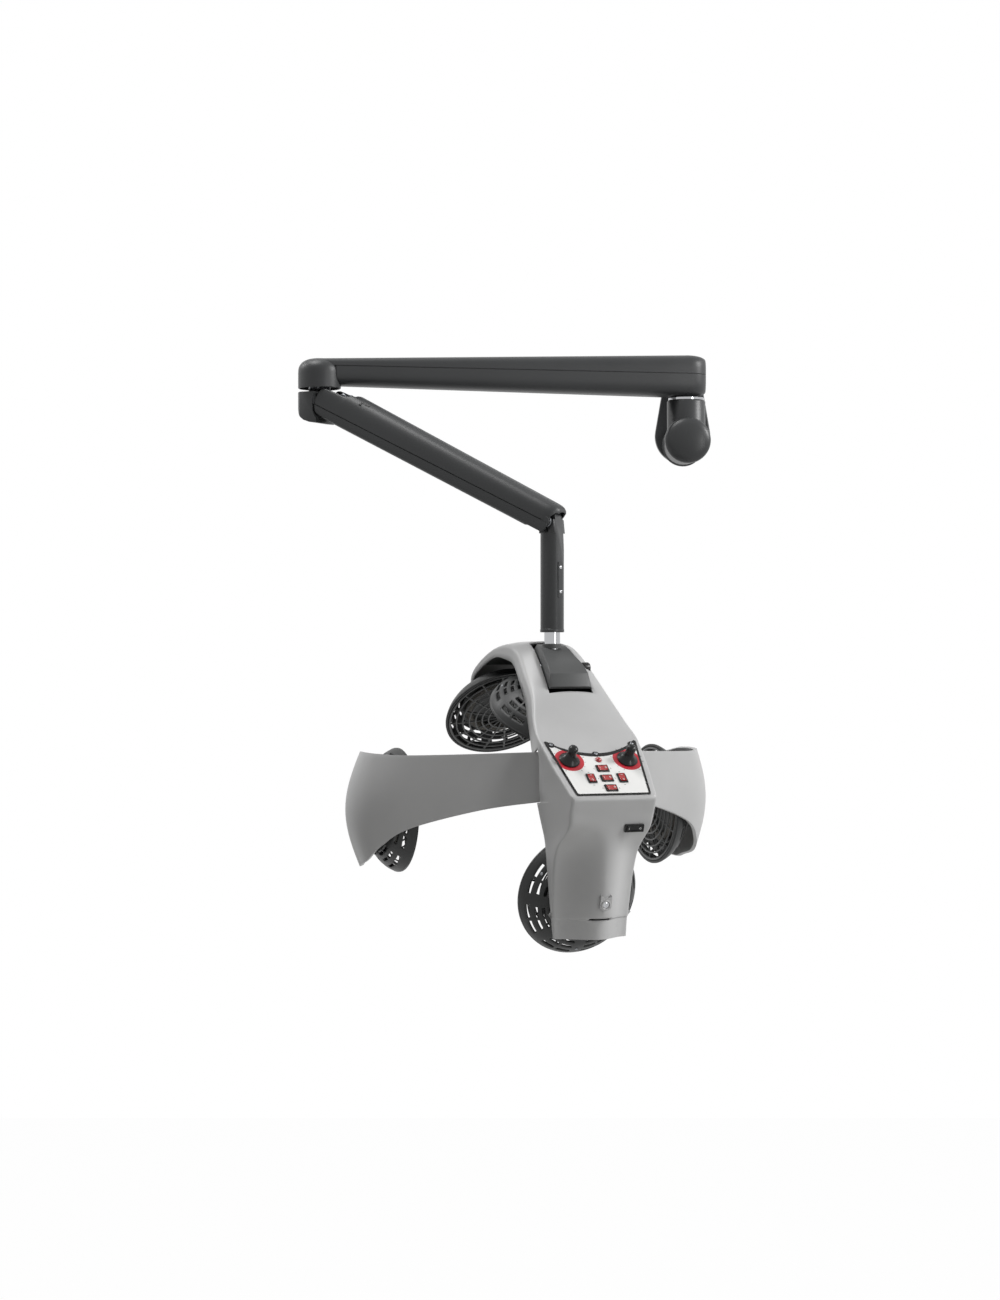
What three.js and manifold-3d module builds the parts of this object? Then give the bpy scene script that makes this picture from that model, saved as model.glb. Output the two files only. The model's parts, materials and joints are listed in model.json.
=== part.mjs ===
// Infrared hair colour processor on a jointed wall arm. Millimetres, +Z up, +Y into the wall.
// The origin is on the back face of the wall plate, at the centre of its round lower end.
// A bracket on the wall carries an upper arm that swings level, an elbow, and a lower arm that
// tilts. A rod beside the lower arm keeps the stem upright. The stem holds the hood on a chrome
// post: an arched body with a control panel, two wings and five round lamps around the head.

import * as THREE from 'three';
import { mergeVertices } from 'three/addons/utils/BufferGeometryUtils.js';
import Module from 'manifold-3d';

const wasm = await Module();
wasm.setup();

// Fits
const GAP = 0.3; // between pieces that touch
const RUN = 0.4; // between a pin and the bore that turns on it
const SIDES = 16; // facets of pins and bores
const ROUND_SIDES = 24; // facets of large round pieces

// Wall bracket
const PLATE_RADIUS = 42.7;
const PLATE_TOP_RADIUS = 30;
const PLATE_TOP_HEIGHT = 75;
const PLATE_THICKNESS = 14;
const WALL_SCREW_RADIUS = 3;
const WALL_SCREW_SPREAD = 26;
const WALL_SCREW_DROP = 10;
const SHOULDER_REACH = 85; // wall to the shoulder axis
const STUB_RADIUS = 30;
const STUB_DROP = 15;
const NECK_RADIUS = 29;
const NECK_TOP = 47;
const CAP_RADIUS = 34.5;
const CAP_DEPTH = 20;
const SHOULDER_PIN_RADIUS = 9;
const SHOULDER_PIN_FOOT = 5;
const WASHER_RADIUS = 27;
const WASHER_THICKNESS = 4.4;

// Upper arm
const UPPER_ARM_LENGTH = 560; // shoulder axis to elbow axis
const UPPER_ARM_YAW = 12.35; // degrees forward of the wall's own direction
const UPPER_ARM_END_RADIUS = 30;
const UPPER_ARM_ELBOW_HALF_WIDTH = 24;
const COVER_WALL = 2.5;
const UPPER_ARM_BELOW_PARTING = 34; // height of the bottom cover at the shoulder
const UPPER_ARM_ABOVE_PARTING = 30; // height of the top cover at the shoulder
const UPPER_ARM_BELOW_AT_ELBOW = 28;
const UPPER_ARM_ABOVE_AT_ELBOW = 11.5;
const ELBOW_DOME_RADIUS = 31.4;
const ELBOW_DOME_RISE = 12; // above the parting plane
const ELBOW_DOME_SKIRT = 32.5; // below the parting plane
const BAR_HALF_WIDTH = 16;
const BAR_THICKNESS = 12;
const BAR_BELOW_PARTING = 18;
const BOSS_RADIUS = 16;

// Elbow
const ELBOW_PIN_RADIUS = 7;
const ELBOW_PIN_DEPTH = 13; // in the knuckle
const KNUCKLE_CLEARANCE = 5.5; // under the dome's skirt
const KNUCKLE_REACH = ELBOW_DOME_RADIUS; // flush with the dome above
const KNUCKLE_HEIGHT = 46;
const KNUCKLE_FLANGE = 3.5;
const KNUCKLE_FLANGE_RADIUS = 20;
const KNUCKLE_HALF_WIDTH = 26;
const TONGUE_HALF_WIDTH = 10;
const TONGUE_RADIUS = 14;
const TILT_OFFSET = 14; // elbow axis to tilt pin, along the lower arm
const TILT_DROP = 23; // knuckle top to tilt pin
const TILT_PIN_RADIUS = 6;

// Lower arm
const LOWER_ARM_LENGTH = 406.7; // tilt pin to stem pin
const LOWER_ARM_YAW = -27.4; // degrees, its level heading
const LOWER_ARM_SLOPE = 25.6; // degrees down, at rest
const LOWER_ARM_HALF_WIDTH = 24.5;
const LOWER_ARM_TOP = 38; // above the pivot line, near the elbow
const LOWER_ARM_TOP_AT_STEM = 26;
const LOWER_ARM_BOTTOM = 15; // below the pivot line, near the elbow
const LOWER_ARM_BOTTOM_AT_STEM = 19;
const LOWER_ARM_CHEEK_TOP = 27; // height of the cheeks at the elbow end
const LOWER_ARM_CHEEK_LENGTH = 44;
const LOWER_ARM_POINT = 10.5; // cheeks past the tilt pin
const LOWER_ARM_SLOT_HALF_WIDTH = 15; // open top between the cheeks
const LOWER_ARM_OVERHANG = 10; // top cover past the stem pin
const LOWER_ARM_LUG = 5.5; // cheeks past the stem pin
const VISOR_LENGTH = 18; // rounded end of the top cover
const MOUTH_TOP = 13.5; // height of the opening the stem hangs from
const CHANNEL_HALF_WIDTH = 20.3;
const CHANNEL_WALL = 3;
const CHANNEL_HALF_HEIGHT = 8;
const CHANNEL_WEB_START = 42;
const ROD_RISE = 14; // the levelling rod's pivots above the arm's pivots
const ROD_HALF_HEIGHT = 4;
const ROD_THICKNESS = 4;
const ROD_STUB_RADIUS = 3;
const ROD_STUB_LENGTH = 6;
const SPRING_START = 62;
const SPRING_LENGTH = 90;
const SPRING_RISE = 16;
const SPRING_RADIUS = 6.5;
const SPRING_WIRE_RADIUS = 1.6;
const SPRING_TURNS = 9;
const SPRING_SEAT = 3;

// Stem and post
const STEM_RADIUS = 16.5;
const STEM_LENGTH = 154.5; // stem pin to the lower end
const STEM_SHOULDER = 15; // stem pin down to the full round
const STEM_HEAD = 19; // above the stem pin
const SCARF_FOOT = 60; // the flat front starts this far below the stem pin
const SCARF_LEAN = 6; // degrees back from upright
const SCARF_TOP = 3; // shoulders beside the tongue, above the stem pin
const POST_RADIUS = 11.2;
const POST_SHOWN = 17; // chrome seen between stem and shoe
const POST_SOCKET = 106; // depth in the stem
const POST_FOOT = 14; // depth in the shoe

// Tilt shoe, in the hood's own axes: u forward, w to the right, height from the shoe's top
const HOOD_YAW = -68; // degrees, the level direction of u
const SHOE_TOP_HALF_WIDTH = 16; // top face at the rear
const SHOE_FOOT_HALF_WIDTH = 22; // foot at the rear
const SHOE_FRONT_TOP_HALF_WIDTH = 29.5;
const SHOE_FRONT_HALF_WIDTH = 31.3;
const SHOE_FLANK = 10; // height of the slanting sides
const SHOE_REAR = 20;
const SHOE_CROWN = 15;
const SHOE_NOSE = 60;
const SHOE_NOSE_DROP = 40;
const SHOE_FRONT = 65;
const SHOE_FRONT_DROP = 61;
const AXLE_FORWARD = 20;
const AXLE_DROP = 33;
const AXLE_RADIUS = 6;
const SHOE_BOSS_RADIUS = 11;
const EAR_THICKNESS = 6;
const EAR_RADIUS = 12;
const EAR_DROP = 32;
const TILT_KNOB_RADIUS = 8;
const TILT_KNOB_LENGTH = 12.5;

// Hood body
const HOOD_WALL = 3;
const OPENING_REAR = 26;
const OPENING_FRONT = 69;
const OPENING_REAR_HALF_WIDTH = 24.5;
const OPENING_FRONT_HALF_WIDTH = 33.2;
const NOSE_SLOT_HALF_WIDTH = 16;
const NOSE_SLOT_HEIGHT = 3;
const NOSE_SLOT_DROP = 369;
const LINER_THICKNESS = 2.5;

// Control panel: distances down the slope from the line of its upper corners
const PANEL_FORWARD = 128.8;
const PANEL_DROP = 131.25;
const PANEL_INCLINE = 40.6; // degrees
const PANEL_LENGTH = 106;
const PANEL_TOP_HALF_WIDTH = 68;
const PANEL_BOTTOM_HALF_WIDTH = 54;
const PANEL_DIP = (25 / 106) * PANEL_LENGTH; // of the hollow upper edge
const PANEL_BORDER = 4;
const PANEL_POCKET = 1.5;
const PANEL_PROUD = 0.6;
const BORDER_PROUD = 1;
const KNOB_DOWN = 38;
const KNOB_SPREAD = 42.5;
const KNOB_SKIRT_RADIUS = 13.5;
const KNOB_GRIP_RADIUS = 7;
const KNOB_HEIGHT = 24;
const KNOB_SHAFT_RADIUS = 3;
const KNOB_SHAFT_LENGTH = 11;
const PILOT_DOWN = (38 / 106) * PANEL_LENGTH;
const PILOT_RADIUS = 4;
const SWITCH_LENGTH = 17.5;
const SWITCH_WIDTH = 12.5;
const SWITCH_PROUD = 2.2;
const SWITCH_RIM = 1.6;
const SWITCH_SPREAD = 22.5;
const SWITCH_DOWN = [55, 74, 93].map((down) => (down / 106) * PANEL_LENGTH); // rows
const ROCKER_PLAY = 0.7;
const BANK_DEPTH = 8; // panel face to the top of the bank's base
const BANK_BASE = 3;
const BOX_DEPTH = 24; // control box, front to back
const MAIN_SWITCH_SIDE = 33.7;
const MAIN_SWITCH_DROP = 245;
const MAIN_SWITCH_LENGTH = 28;
const MAIN_SWITCH_WIDTH = 11;
const MAIN_SWITCH_DEPTH = 15;
const MAIN_SWITCH_LEAN = 106; // degrees, its face's normal from straight up

// Wings
const WING_THICKNESS = 5;
const WING_PIN_FORWARD = 112;
const WING_PIN_SIDE = 51;
const WING_PIN_RADIUS = 3;
const WING_BARREL_RADIUS = 6;
const WING_ROOT_TOP = -146;
const WING_ROOT_BOTTOM = -214;
const WING_LUG = 5;

// Lamps: depths from the rim towards the back
const LAMP_RADIUS = 87;
const LAMP_DEPTH = 40;
const LAMP_WALL = 2.5;
const GRILLE_THICKNESS = 2.5;
const GRILLE_BULGE = 8;
const EMITTER_RADIUS = 48;
const EMITTER_TUBE = 5.5;
const EMITTER_DEPTH = 15;
const EMITTER_POST_RADIUS = 3;
const STALK_RADIUS = 9;
const SPOKES = 8;
const SPOKE_ANGLE = 13; // degrees of metal between two slots
const RIB_ANGLE = 4; // degrees across a grille rib
const SIDE_LAMP_FORWARD = -90;
const SIDE_LAMP_SPREAD = 197;
const SIDE_LAMP_DROP = 232;
const SIDE_LAMP_STALK = 25.9;
const ARCH_LAMPS = [ // forward and height of the rim's centre, degrees of lean, stalk length
  { name: 'nape', at: [85, -340], lean: 106, stalk: 13.2 },
  { name: 'top', at: [-6, -95], lean: 32, stalk: 7.1 },
  { name: 'forehead', at: [-181, -100.5], lean: -43, stalk: 5.7 },
];

const rad = THREE.MathUtils.degToRad;
const v2 = (x, y) => new THREE.Vector2(x, y);
const v3 = (x, y, z) => new THREE.Vector3(x, y, z);
const lerp = THREE.MathUtils.lerp;
const boreOf = (pinRadius, play = RUN) => (pinRadius + play) / Math.cos(Math.PI / SIDES);

// Finishes
const finish = (color, roughness, metalness = 0) =>
  new THREE.MeshStandardMaterial({ color, roughness, metalness });
const CHARCOAL = finish('#46474a', 0.5);
const SHOE_GREY = finish('#5a5b5e', 0.55);
const BODY_GREY = finish('#9a9b9d', 0.42);
const LAMP_BLACK = finish('#28292b', 0.5);
const GLOSS_BLACK = finish('#151516', 0.3);
const CHROME = finish('#d9dadc', 0.12, 1);
const STEEL = finish('#8e9094', 0.35, 1);
const PANEL_WHITE = finish('#f6f6f4', 0.35);
const RED = finish('#c4283a', 0.35);
const CERAMIC = finish('#d8cfc0', 0.7);

// Solids

// Merges a geometry's shared corners, drops empty triangles and turns its faces outwards.
function closed(geometry) {
  const copy = geometry.clone();
  copy.deleteAttribute('normal');
  copy.deleteAttribute('uv');
  const merged = mergeVertices(copy, 1e-4);
  const place = merged.getAttribute('position');
  const corner = (i) => new THREE.Vector3().fromBufferAttribute(place, i);
  const kept = [];
  let volume = 0;
  for (let i = 0; i < merged.index.count; i += 3) {
    const [a, b, c] = [0, 1, 2].map((k) => merged.index.getX(i + k));
    if (a === b || b === c || c === a) continue;
    kept.push([a, b, c]);
    volume += corner(a).dot(corner(b).cross(corner(c)));
  }
  merged.setIndex(kept.flatMap(([a, b, c]) => (volume < 0 ? [a, c, b] : [a, b, c])));
  return merged;
}

function solid(geometry) {
  const bare = closed(geometry);
  return new wasm.Manifold(new wasm.Mesh({
    numProp: 3,
    vertProperties: new Float32Array(bare.getAttribute('position').array),
    triVerts: new Uint32Array(bare.index.array),
  }));
}

function geometryOf(manifold) {
  const mesh = manifold.getMesh();
  const geometry = new THREE.BufferGeometry();
  const places = new Float32Array(mesh.numVert * 3);
  for (let i = 0; i < mesh.numVert; i++) {
    for (let k = 0; k < 3; k++) places[3 * i + k] = mesh.vertProperties[mesh.numProp * i + k];
  }
  geometry.setAttribute('position', new THREE.BufferAttribute(places, 3));
  geometry.setIndex(Array.from(mesh.triVerts));
  geometry.computeVertexNormals();
  return geometry;
}

const joined = (first, ...others) => others.reduce((whole, part) => whole.add(part), first);
const cut = (whole, ...tools) => tools.reduce((rest, tool) => rest.subtract(tool), whole);

function rod(radius, from, to, sides = SIDES) {
  const along = to.clone().sub(from);
  const geometry = new THREE.CylinderGeometry(radius, radius, along.length(), sides);
  const turn = new THREE.Quaternion().setFromUnitVectors(v3(0, 1, 0), along.normalize());
  geometry.applyQuaternion(turn);
  const middle = from.clone().add(to).multiplyScalar(0.5);
  return solid(geometry.translate(middle.x, middle.y, middle.z));
}

function block(low, high) {
  const size = high.clone().sub(low);
  const middle = low.clone().add(high).multiplyScalar(0.5);
  const geometry = new THREE.BoxGeometry(size.x, size.y, size.z);
  return solid(geometry.translate(middle.x, middle.y, middle.z));
}

// A flat outline in x and y, raised from low to high.
function slab(shape, low, high, curveSegments = 6) {
  const options = { depth: high - low, bevelEnabled: false, curveSegments };
  return solid(new THREE.ExtrudeGeometry(shape, options).translate(0, 0, low));
}

// A flat outline in x and z, running across y from low to high.
function sideSlab(shape, low, high, curveSegments = 6) {
  const options = { depth: high - low, bevelEnabled: false, curveSegments };
  const geometry = new THREE.ExtrudeGeometry(shape, options);
  return solid(geometry.rotateX(Math.PI / 2).translate(0, high, 0));
}

// A profile of radius and height, turned about z.
function turned(profile, sides = ROUND_SIDES) {
  const points = profile.map(([radius, height]) => v2(radius, height));
  return solid(new THREE.LatheGeometry(points, sides).rotateX(Math.PI / 2));
}

function ring(outer, inner, low, high, sides = ROUND_SIDES) {
  return turned([[inner, low], [outer, low], [outer, high], [inner, high], [inner, low]], sides);
}

// A skin through closed loops of equally many points, with a fan across each end. The loops of a
// thin sheet run out along one face and back along the other, and its ends are strips.
function loft(loops, thin = false) {
  const count = loops[0].length;
  const points = loops.flat();
  const index = [];
  for (let i = 0; i + 1 < loops.length; i++) {
    for (let j = 0; j < count; j++) {
      const a = i * count + j;
      const b = i * count + ((j + 1) % count);
      index.push(a, b, b + count, a, b + count, a + count);
    }
  }
  for (const end of [0, loops.length - 1]) {
    const first = end * count;
    const facing = (a, b, c) => index.push(...(end === 0 ? [a, c, b] : [a, b, c]));
    if (thin) {
      for (let j = 0; j + 1 < count / 2; j++) {
        const last = first + count - 1 - j;
        facing(first + j, first + j + 1, last - 1);
        facing(first + j, last - 1, last);
      }
    } else {
      const middle = points.length;
      const centre = loops[end].reduce((sum, p) => sum.add(p), v3(0, 0, 0));
      points.push(centre.multiplyScalar(1 / count));
      for (let j = 0; j < count; j++) facing(middle, first + j, first + ((j + 1) % count));
    }
  }
  const geometry = new THREE.BufferGeometry().setFromPoints(points);
  geometry.setIndex(index);
  return solid(geometry);
}

const polygon = (points) => new THREE.Shape(points.map(([x, y]) => v2(x, y)));

function capsule(length, half) {
  const shape = new THREE.Shape();
  shape.absarc(0, 0, half, Math.PI / 2, 1.5 * Math.PI, false);
  shape.absarc(length, 0, half, -Math.PI / 2, Math.PI / 2, false);
  return shape;
}

const part = new THREE.Group();

function place(parent, name, manifold, material) {
  const mesh = new THREE.Mesh(geometryOf(manifold), material);
  mesh.name = name;
  parent.add(mesh);
}

function frameOn(parent, position, turnAxis, degrees) {
  const group = new THREE.Group();
  group.position.copy(position);
  group.rotation[turnAxis] = rad(degrees);
  parent.add(group);
  return group;
}

// Wall bracket

const PARTING = NECK_TOP + GAP + WASHER_THICKNESS + GAP + UPPER_ARM_BELOW_PARTING;
const BAR_LOW = PARTING - BAR_BELOW_PARTING;
const BAR_HIGH = BAR_LOW + BAR_THICKNESS;

function teardrop() {
  const lean = Math.asin((PLATE_RADIUS - PLATE_TOP_RADIUS) / PLATE_TOP_HEIGHT);
  const shape = new THREE.Shape();
  shape.absarc(0, 0, PLATE_RADIUS, Math.PI - lean, 2 * Math.PI + lean, false);
  shape.absarc(0, PLATE_TOP_HEIGHT, PLATE_TOP_RADIUS, lean, Math.PI - lean, false);
  return shape;
}

function wallPlate() {
  const hole = (x, z) => rod(WALL_SCREW_RADIUS + GAP, v3(x, -PLATE_THICKNESS - 1, z), v3(x, 1, z));
  return cut(
    sideSlab(teardrop(), -PLATE_THICKNESS, 0, 9),
    hole(-WALL_SCREW_SPREAD, -WALL_SCREW_DROP),
    hole(WALL_SCREW_SPREAD, -WALL_SCREW_DROP),
    hole(0, PLATE_TOP_HEIGHT),
  );
}

const STUB_FRONT = SHOULDER_REACH + NECK_RADIUS;

function wallBracket() {
  const stub = rod(
    STUB_RADIUS,
    v3(0, -PLATE_THICKNESS - GAP, -STUB_DROP),
    v3(0, -STUB_FRONT, -STUB_DROP),
    ROUND_SIDES,
  );
  const neck = rod(
    NECK_RADIUS,
    v3(0, -SHOULDER_REACH, -STUB_DROP),
    v3(0, -SHOULDER_REACH, NECK_TOP),
    ROUND_SIDES,
  );
  const bore = rod(
    boreOf(SHOULDER_PIN_RADIUS, GAP),
    v3(0, -SHOULDER_REACH, SHOULDER_PIN_FOOT - GAP),
    v3(0, -SHOULDER_REACH, NECK_TOP + 1),
  );
  return cut(stub.add(neck), bore);
}

function bracketCap() {
  const dome = turned([
    [0, 0],
    [CAP_RADIUS, 0],
    [CAP_RADIUS, 0.35 * CAP_DEPTH],
    [0.9 * CAP_RADIUS, 0.68 * CAP_DEPTH],
    [0.6 * CAP_RADIUS, 0.9 * CAP_DEPTH],
    [0, CAP_DEPTH],
  ]);
  return dome.rotate([90, 0, 0]).translate([0, -STUB_FRONT - GAP, -STUB_DROP]);
}

place(part, 'wall_plate', wallPlate(), CHARCOAL);
place(part, 'wall_bracket', wallBracket(), CHARCOAL);
place(part, 'bracket_cap', bracketCap(), CHARCOAL);

const shoulder = frameOn(part, v3(0, -SHOULDER_REACH, 0), 'z', 0);
place(
  shoulder,
  'shoulder_pin',
  rod(SHOULDER_PIN_RADIUS, v3(0, 0, SHOULDER_PIN_FOOT), v3(0, 0, BAR_HIGH)),
  STEEL,
);
place(
  shoulder,
  'shoulder_washer',
  ring(WASHER_RADIUS, boreOf(SHOULDER_PIN_RADIUS), NECK_TOP + GAP, NECK_TOP + GAP + WASHER_THICKNESS),
  CHROME,
);

// Upper arm: x runs from the shoulder axis to the elbow axis

const upperArm = frameOn(shoulder, v3(0, 0, 0), 'z', 180 + UPPER_ARM_YAW);
const KNUCKLE_TOP = PARTING - ELBOW_DOME_SKIRT - KNUCKLE_CLEARANCE;

// Half of a rounded box section at one place along an arm, from the parting plane outwards.
const ARCH_STEPS = 7;
function halfSection(x, halfWidth, from, to, squareness = 3.4) {
  const loop = [];
  for (let i = 0; i <= ARCH_STEPS; i++) {
    const angle = (Math.PI * i) / ARCH_STEPS;
    const across = Math.sign(Math.cos(angle)) * Math.abs(Math.cos(angle)) ** (2 / squareness);
    const up = Math.sin(angle) ** (2 / squareness);
    loop.push(v3(x, halfWidth * across, from + (to - from) * up));
  }
  return loop;
}

// One cover half, rounded at the shoulder end; wall takes it in on every side for the hollow.
function upperCoverHalf(heightAtShoulder, heightAtElbow, end, wall) {
  const endRadius = UPPER_ARM_END_RADIUS - wall;
  const base = PARTING + (Math.sign(heightAtShoulder) * GAP) / 2;
  const from = wall > 0 ? base - Math.sign(heightAtShoulder) * 2 : base;
  const loops = [];
  for (const angle of [14, 38, 62]) {
    const rise = heightAtShoulder * (0.72 + 0.28 * Math.sin(rad(angle)));
    const width = endRadius * Math.sin(rad(angle));
    const top = PARTING + rise - Math.sign(rise) * wall;
    loops.push(halfSection(-endRadius * Math.cos(rad(angle)), width, from, top));
  }
  for (const share of [0, 0.3, 0.65, 1]) {
    const rise = lerp(heightAtShoulder, heightAtElbow, share);
    const width = lerp(UPPER_ARM_END_RADIUS, UPPER_ARM_ELBOW_HALF_WIDTH, share) - wall;
    const top = PARTING + rise - Math.sign(rise) * wall;
    loops.push(halfSection(share * end, width, from, top));
  }
  return loft(loops);
}

function domeProfile(wall) {
  const radius = ELBOW_DOME_RADIUS - wall;
  const low = PARTING - ELBOW_DOME_SKIRT - wall;
  const top = PARTING + ELBOW_DOME_RISE - wall;
  return [
    [0, low],
    [radius, low],
    [radius, top - 22],
    [0.96 * radius, top - 14.5],
    [0.86 * radius, top - 8],
    [0.7 * radius, top - 3],
    [0.45 * radius, top - 0.5],
    [0, top],
  ];
}

function upperCoverTop() {
  const reach = UPPER_ARM_LENGTH - ELBOW_DOME_RADIUS / 2;
  const outer = upperCoverHalf(UPPER_ARM_ABOVE_PARTING, UPPER_ARM_ABOVE_AT_ELBOW, reach, 0);
  const inner = upperCoverHalf(UPPER_ARM_ABOVE_PARTING, UPPER_ARM_ABOVE_AT_ELBOW, reach, COVER_WALL);
  const dome = turned(domeProfile(0)).translate([UPPER_ARM_LENGTH, 0, 0]);
  const hollow = turned(domeProfile(COVER_WALL)).translate([UPPER_ARM_LENGTH, 0, 0]);
  const barWay = block(
    v3(UPPER_ARM_LENGTH - ELBOW_DOME_RADIUS - 4, -BAR_HALF_WIDTH - GAP, BAR_LOW - GAP),
    v3(UPPER_ARM_LENGTH, BAR_HALF_WIDTH + GAP, PARTING + GAP),
  );
  return cut(outer.add(dome), inner, hollow, barWay);
}

function upperCoverBottom() {
  const end = UPPER_ARM_LENGTH - 6;
  const outer = upperCoverHalf(-UPPER_ARM_BELOW_PARTING, -UPPER_ARM_BELOW_AT_ELBOW, end, 0);
  const inner = upperCoverHalf(-UPPER_ARM_BELOW_PARTING, -UPPER_ARM_BELOW_AT_ELBOW, end + 2, COVER_WALL);
  const low = NECK_TOP;
  const elbowRoom = rod(
    (ELBOW_DOME_RADIUS + 2 * GAP) / Math.cos(Math.PI / ROUND_SIDES),
    v3(UPPER_ARM_LENGTH, 0, low),
    v3(UPPER_ARM_LENGTH, 0, PARTING + 1),
    ROUND_SIDES,
  );
  const bossHole = rod(boreOf(BOSS_RADIUS), v3(0, 0, low), v3(0, 0, BAR_LOW));
  return cut(outer, inner, elbowRoom, bossHole);
}

function upperArmBar() {
  const bar = slab(capsule(UPPER_ARM_LENGTH, BAR_HALF_WIDTH), BAR_LOW, BAR_HIGH);
  const shoulderBoss = rod(BOSS_RADIUS, v3(0, 0, PARTING - UPPER_ARM_BELOW_PARTING), v3(0, 0, BAR_HIGH));
  const atElbow = (z) => v3(UPPER_ARM_LENGTH, 0, z);
  const elbowBoss = rod(BOSS_RADIUS, atElbow(KNUCKLE_TOP + GAP), atElbow(BAR_HIGH));
  const shoulderBore = rod(boreOf(SHOULDER_PIN_RADIUS), v3(0, 0, NECK_TOP), v3(0, 0, BAR_HIGH + 1));
  const elbowBore = rod(boreOf(ELBOW_PIN_RADIUS, GAP), atElbow(KNUCKLE_TOP), atElbow(BAR_HIGH + 1));
  return cut(joined(bar, shoulderBoss, elbowBoss), shoulderBore, elbowBore);
}

place(upperArm, 'upper_arm_cover_top', upperCoverTop(), CHARCOAL);
place(upperArm, 'upper_arm_cover_bottom', upperCoverBottom(), CHARCOAL);
place(upperArm, 'upper_arm_bar', upperArmBar(), STEEL);
place(
  upperArm,
  'elbow_pin',
  rod(
    ELBOW_PIN_RADIUS,
    v3(UPPER_ARM_LENGTH, 0, KNUCKLE_TOP - ELBOW_PIN_DEPTH),
    v3(UPPER_ARM_LENGTH, 0, BAR_HIGH),
  ),
  STEEL,
);

// Elbow: x follows the lower arm's level heading, z is 0 at the knuckle's top

const elbow = frameOn(
  upperArm,
  v3(UPPER_ARM_LENGTH, 0, KNUCKLE_TOP),
  'z',
  LOWER_ARM_YAW - UPPER_ARM_YAW - 180,
);
const across = (x, z, from, to) => [v3(x, from, z), v3(x, to, z)];

// Room in the knuckle for the turning cheeks, from the tilt pin.
const KNUCKLE_NOTCH = [
  [-7, 26],
  [-8.7, 20],
  [-10.2, 13],
  [-10.8, 4.5],
  [-10.6, 0],
  [-10.2, -5],
  [-8.9, -9.8],
  [-6.6, -14],
  [-3.1, -19.5],
  [3, -24.7],
  [10, -30.7],
  [60, -30.7],
  [60, 26],
];

function elbowKnuckle() {
  const quarter = new THREE.Shape();
  quarter.moveTo(-KNUCKLE_REACH, 0);
  quarter.bezierCurveTo(
    -KNUCKLE_REACH, -0.7 * KNUCKLE_HEIGHT,
    -0.5 * KNUCKLE_REACH, -KNUCKLE_HEIGHT,
    0.3 * KNUCKLE_REACH, -KNUCKLE_HEIGHT,
  );
  quarter.lineTo(0.3 * KNUCKLE_REACH, 0);
  const drum = rod(KNUCKLE_REACH, v3(0, 0, -KNUCKLE_HEIGHT), v3(0, 0, 0), ROUND_SIDES);
  const shell = sideSlab(quarter, -KNUCKLE_HALF_WIDTH, KNUCKLE_HALF_WIDTH).intersect(drum);
  const notch = polygon(KNUCKLE_NOTCH.map(([x, z]) => [TILT_OFFSET + x, z - TILT_DROP]));
  const room = (side) => sideSlab(
    notch,
    side < 0 ? -KNUCKLE_REACH : TONGUE_HALF_WIDTH,
    side < 0 ? -TONGUE_HALF_WIDTH : KNUCKLE_REACH,
  );
  const flange = rod(KNUCKLE_FLANGE_RADIUS, v3(0, 0, -KNUCKLE_FLANGE), v3(0, 0, 0), ROUND_SIDES);
  const neck = sideSlab(
    polygon([
      [-0.7 * KNUCKLE_REACH, -1],
      [-0.7 * KNUCKLE_REACH, -0.5 * KNUCKLE_HEIGHT],
      [0, -0.85 * KNUCKLE_HEIGHT],
      [TILT_OFFSET, -TILT_DROP - TONGUE_RADIUS],
      [TILT_OFFSET + TONGUE_RADIUS, -TILT_DROP],
      [TILT_OFFSET + TONGUE_RADIUS - 2, -1],
    ]),
    -TONGUE_HALF_WIDTH,
    TONGUE_HALF_WIDTH,
  );
  const eye = rod(
    TONGUE_RADIUS,
    ...across(TILT_OFFSET, -TILT_DROP, -TONGUE_HALF_WIDTH, TONGUE_HALF_WIDTH),
    ROUND_SIDES,
  );
  const pinBore = rod(boreOf(ELBOW_PIN_RADIUS), v3(0, 0, -ELBOW_PIN_DEPTH - GAP), v3(0, 0, 1));
  const reach = KNUCKLE_HALF_WIDTH + 1;
  const tiltBore = rod(boreOf(TILT_PIN_RADIUS), ...across(TILT_OFFSET, -TILT_DROP, -reach, reach));
  const stubBore = rod(
    boreOf(ROD_STUB_RADIUS),
    ...across(
      TILT_OFFSET,
      -TILT_DROP + ROD_RISE,
      TONGUE_HALF_WIDTH - ROD_STUB_LENGTH - 1,
      TONGUE_HALF_WIDTH + 1,
    ),
  );
  return cut(joined(cut(shell, room(-1), room(1)), flange, neck, eye), pinBore, tiltBore, stubBore);
}

place(elbow, 'elbow_knuckle', elbowKnuckle(), CHARCOAL);

// Lower arm: x runs down the line from the tilt pin to the stem pin

const lowerArm = frameOn(elbow, v3(TILT_OFFSET, 0, -TILT_DROP), 'y', LOWER_ARM_SLOPE);
const PIN_HALF_LENGTH = CHANNEL_HALF_WIDTH + GAP;

// How the top cover rounds off: distance from its end, height and width, as shares.
const VISOR_SHAPE = [[1, 1, 1], [0.5, 0.97, 1], [0.17, 0.86, 0.95], [0, 0.66, 0.86]];
const SQUARE_END = [[0, 1, 1]];

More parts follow.
